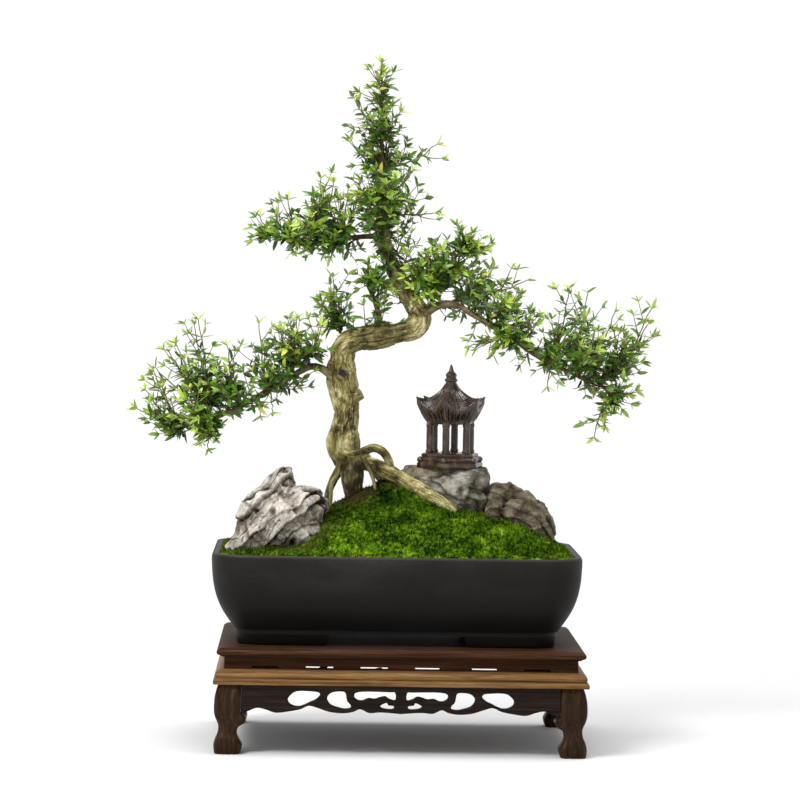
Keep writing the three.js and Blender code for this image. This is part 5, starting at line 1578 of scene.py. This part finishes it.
# how far out, and how high
MOULDING_PROFILE = [[-16, 77], [-0.8, 77], [-0.2, 77.5], [0, 79.5], [-0.2, 81.6], [-1, 82.4], [-3.4, 83],
                    [-3.9, 83.7], [-3.1, 84.6], [-2.3, 86.2], [-2.2, 87.8], [-2.9, 89.8], [-4.3, 91.6],
                    [-5.6, 92.9], [-6.8, MOULDING_TOP], [-16, MOULDING_TOP]]


def moulding_skin(half_length, half_width, rows=30):
    """The moulding's profile carried along one side, its ends cut at 45 degrees."""
    out, z = np.array(MOULDING_PROFILE).T
    share = np.linspace(1, -1, rows)[:, None]
    x = share * (half_length + out - 0.15)
    return closed_loft(np.stack(np.broadcast_arrays(x, -(half_width + out), z), -1))


for side, turns in SIDES.items():
    long_side = turns % 2 == 0
    run = "X" if long_side else "Y"
    size = (STAND_HALF_X, STAND_HALF_Y) if long_side else (STAND_HALF_Y, STAND_HALF_X)
    points, quads, triangles = moulding_skin(*size)
    shape = (quarter_turned(points, turns), quads, triangles)
    moulding = new_piece(f"moulding_{side}", shape, [TAN_WOOD[run]], 35)
    settle(moulding, "moulding_wood", f"stand_moulding_{side}")
    repaint(f"stand_waist_{side}", WAIST_WOOD[run])   # the frame's own piece stays

# %% Aprons
LEG_INNER_X = 175.6
LEG_INNER_Y = 119
APRON_THICKNESS = 9
APRON_INSET = 5                   # how far the aprons' faces stand inside the moulding's line
# the right half of the openwork and of the lower edge, [x, height]
LEAF_HOLES = [
    [[6.5, 61.5], [7, 70], [12, 70.3], [47, 70], [51, 68], [51, 64], [47, 61], [42, 60.8], [36, 63.2],
     [29, 62.7], [22.5, 64.7], [17.5, 65.4], [13, 62.8]],
    [[8.3, 52], [8, 55], [14, 56], [15.5, 58.5], [18, 58], [23, 54.7], [20, 52.4]],
    [[55, 53], [55.5, 56], [59, 59.6], [60.3, 65], [61.7, 69.6], [70, 70.4], [77, 68.7], [81, 64],
     [80.3, 59.8], [77, 55.8], [70, 53], [60.5, 51.3]],
    [[89, 66.7], [90.5, 69], [96, 70], [115, 70], [120.5, 66.7], [124, 62], [123.3, 57.8], [119.2, 54.7],
     [112.3, 53.5], [106.8, 55], [100, 58.4], [93, 61.8]],
]
LOWER_EDGE = [[168, 47.5], [158, 51.3], [148, 49.5], [138, 46.3], [122, 48], [110, 50.5], [101, 54.3],
              [90, 51.5], [78, 47.8], [63, 46.6], [52, 48.3], [45, 51.2], [35, 47.2], [23, 48], [0, 46.5]]


def closed_smooth(points, steps=6):
    """A closed smooth line through points in a plane: the open line over three rounds, its middle round
    kept."""
    loop = np.vstack([points, points, points, points[:1]])
    flat = np.column_stack([loop, np.zeros(len(loop))])
    line = smooth_line(flat, steps)[:, :2]
    count = len(points) * steps
    return line[count:2 * count]


def flat_carving(name, outlines, thickness, edge=1.1):
    """A filled outline with holes, thickened and rounded at its edges by Blender's 2D curve."""
    curve = bpy.data.curves.new(name, "CURVE")
    curve.dimensions = "2D"
    curve.fill_mode = "BOTH"
    curve.extrude = (thickness / 2 - edge) * MM
    curve.bevel_depth = edge * MM
    curve.bevel_resolution = 2
    curve.offset = -edge * MM
    for outline in outlines:
        spline = curve.splines.new("POLY")
        spline.points.add(len(outline) - 1)
        places = np.column_stack([outline * MM, np.zeros(len(outline)), np.ones(len(outline))])
        spline.points.foreach_set("co", places.ravel())
        spline.use_cyclic_u = True
    drawn = in_scene(name, curve)
    mesh = bpy.data.meshes.new_from_object(drawn.evaluated_get(bpy.context.evaluated_depsgraph_get()))
    bpy.data.objects.remove(drawn)
    return mesh


def apron_outlines(half_length, stretch):
    """The apron's border, scalloped below, and its openwork, the same left and right."""
    edge = np.array([[half_length, 44.5]] + [[x * stretch, z] for x, z in LOWER_EDGE], float)
    right_half = smooth_line(np.column_stack([edge, np.zeros(len(edge))]), 5)[:, :2]
    left_half = right_half[::-1][1:] * [-1, 1]
    border = np.vstack([right_half, left_half, [[-half_length, LEG_TOP], [half_length, LEG_TOP]]])
    holes = [closed_smooth(np.array(points, float) * [side * stretch, 1]) for points in LEAF_HOLES
             for side in (1, -1)]
    return [border, *holes]


def apron_piece(side, turns):
    """An apron turned to its side of the stand, with its front face just behind the legs' faces."""
    long_side = turns % 2 == 0
    half_length, stretch = (LEG_INNER_X, 1) if long_side else (LEG_INNER_Y, 0.7)
    out = (STAND_HALF_Y if long_side else STAND_HALF_X) - APRON_INSET
    mesh = flat_carving(f"apron_{side}", apron_outlines(half_length, stretch), APRON_THICKNESS)
    flat = points_of(mesh) / MM
    upright = np.column_stack([flat[:, 0], -flat[:, 2] + APRON_THICKNESS / 2 - out, flat[:, 1]])
    mesh.vertices.foreach_set("co", in_metres(quarter_turned(upright, turns)))
    mesh.materials.clear()
    mesh.materials.append(DARK_WOOD["X" if long_side else "Y"])
    mesh.shade_smooth()
    mesh.set_sharp_from_angle(angle=math.radians(50))
    settle(in_scene(f"apron_{side}", mesh), "stand_wood", f"stand_apron_{side}")


for side, turns in SIDES.items():
    apron_piece(side, turns)

# %% Legs
# height, how far the outer faces stand inside the stand's, and the leg's width
LEG_LEVELS = [[0, 3, 26.5], [1.2, 2.2, 28.4], [4, 1.6, 30], [10, 1.2, 31.6], [17, 3, 26], [23, 5.6, 21.2],
              [29, 6.4, 21.8], [34, 5.4, 29.6], [40, 3, 33.6], [45.7, 1.7, 29], [52, 1.4, 29.3],
              [62, 2, 28.7], [70, 3.6, 27.1], [LEG_TOP, 6, 24.7]]
TOE_GROOVES = (11, 22)
TOE_DEPTH = 2
TOE_WIDTH = 1.3


def leg_skin(sign_x, sign_y):
    """Rings up a leg at the back right, round-cornered squares whose outer faces and width change with the
    height. Grooves part the toes: narrow valleys in both outer faces below 20 mm."""
    z, inset, width = smooth_line(LEG_LEVELS, 4).T
    half = width / 2
    corner = np.minimum(np.interp(z, [0, 12, 24, 40, 60, 77], [7, 9, 6, 5, 4, 4]), half - 1)
    rings = rounded_ring(0, 0, half, half, corner, z, 9, 14)
    rings[..., 0] += (STAND_HALF_X - inset - half)[:, None]
    rings[..., 1] += (STAND_HALF_Y - inset - half)[:, None]
    inwards = np.array([STAND_HALF_X, STAND_HALF_Y]) - rings[..., :2]
    low_down = slope(rings[..., 2], 21, -6) * slope(rings[..., 2], 0, 1.5)
    for here, other in ((0, 1), (1, 0)):
        valleys = sum(np.exp(-((inwards[..., here] - at) / TOE_WIDTH) ** 2) for at in TOE_GROOVES)
        rings[..., other] -= TOE_DEPTH * valleys * (inwards[..., other] < 6) * low_down
    points, quads, triangles = closed_loft(rings)
    points = points * [sign_x, sign_y, 1]
    if sign_x * sign_y < 0:
        quads, triangles = quads[:, ::-1], triangles[:, ::-1]
    return points, quads, triangles


LEGS = dict(zip(["back_right", "back_left", "front_left", "front_right"], CORNERS))
for name, signs in LEGS.items():
    settle(new_piece(f"leg_{name}", leg_skin(*signs), [LEG_WOOD], 50), "stand_wood", f"stand_leg_{name}")

# %% [markdown]
# ## Floor and light
#
# The object stands on a plain pale floor under soft studio light: a key lamp up on the left in front, and a
# very wide one overhead. The surround is white near the horizon and dimmer above and below, so no side hides
# in a hard shadow and yet the undersides of the leaves are darker than their tops.

# %% Floor and light
FLOOR_RADIUS = 0.9
TREE_MIDDLE = (0, 0, 0.4)


def floor_finish():
    """Matt off-white with the faintest cloudiness."""
    paper = Finish("floor", 0.9, 0.2)
    clouds = paper.noise(paper.place(), 1.5, 2)
    paper.give("Base Color", paper.ramp(clouds, (0.3, (0.64, 0.64, 0.64)), (0.7, (0.66, 0.66, 0.66))))
    return paper.material


rim = np.linspace(0, 2 * np.pi, 128, endpoint=False)
floor_mesh = bpy.data.meshes.new("floor")
floor_mesh.from_pydata(list(zip(FLOOR_RADIUS * np.cos(rim), FLOOR_RADIUS * np.sin(rim), 0 * rim)), [],
                       [range(len(rim))])
floor_mesh.materials.append(floor_finish())
floor = in_scene("floor", floor_mesh)


def soft_lamp(name, place, size, power):
    """A square area lamp that faces the tree's middle."""
    lamp = in_scene(name, bpy.data.lights.new(name, "AREA"))
    lamp.data.size = size
    lamp.data.energy = power
    lamp.location = place
    lamp.rotation_euler = (Vector(TREE_MIDDLE) - Vector(place)).to_track_quat("-Z", "Y").to_euler()


soft_lamp("key", (-1.3, -1.6, 2.4), 1.1, 78)
soft_lamp("overhead", (0.2, 0.2, 3.5), 2.4, 110)
world = bpy.data.worlds.new("studio")
bpy.context.scene.world = world
world.use_nodes = True
sky = Nodes(world.node_tree)
steepness = sky.math("ABSOLUTE", sky.height(sky.add("TexCoord", "Generated", {})), 0)
surround = world.node_tree.nodes["Background"].inputs
sky.join(sky.ramp(steepness, (0.3, (1, 1, 1)), (0.6, (0.4, 0.4, 0.4))), surround["Color"])
surround["Strength"].default_value = 1.02
bpy.context.scene.view_settings.view_transform = "Standard"
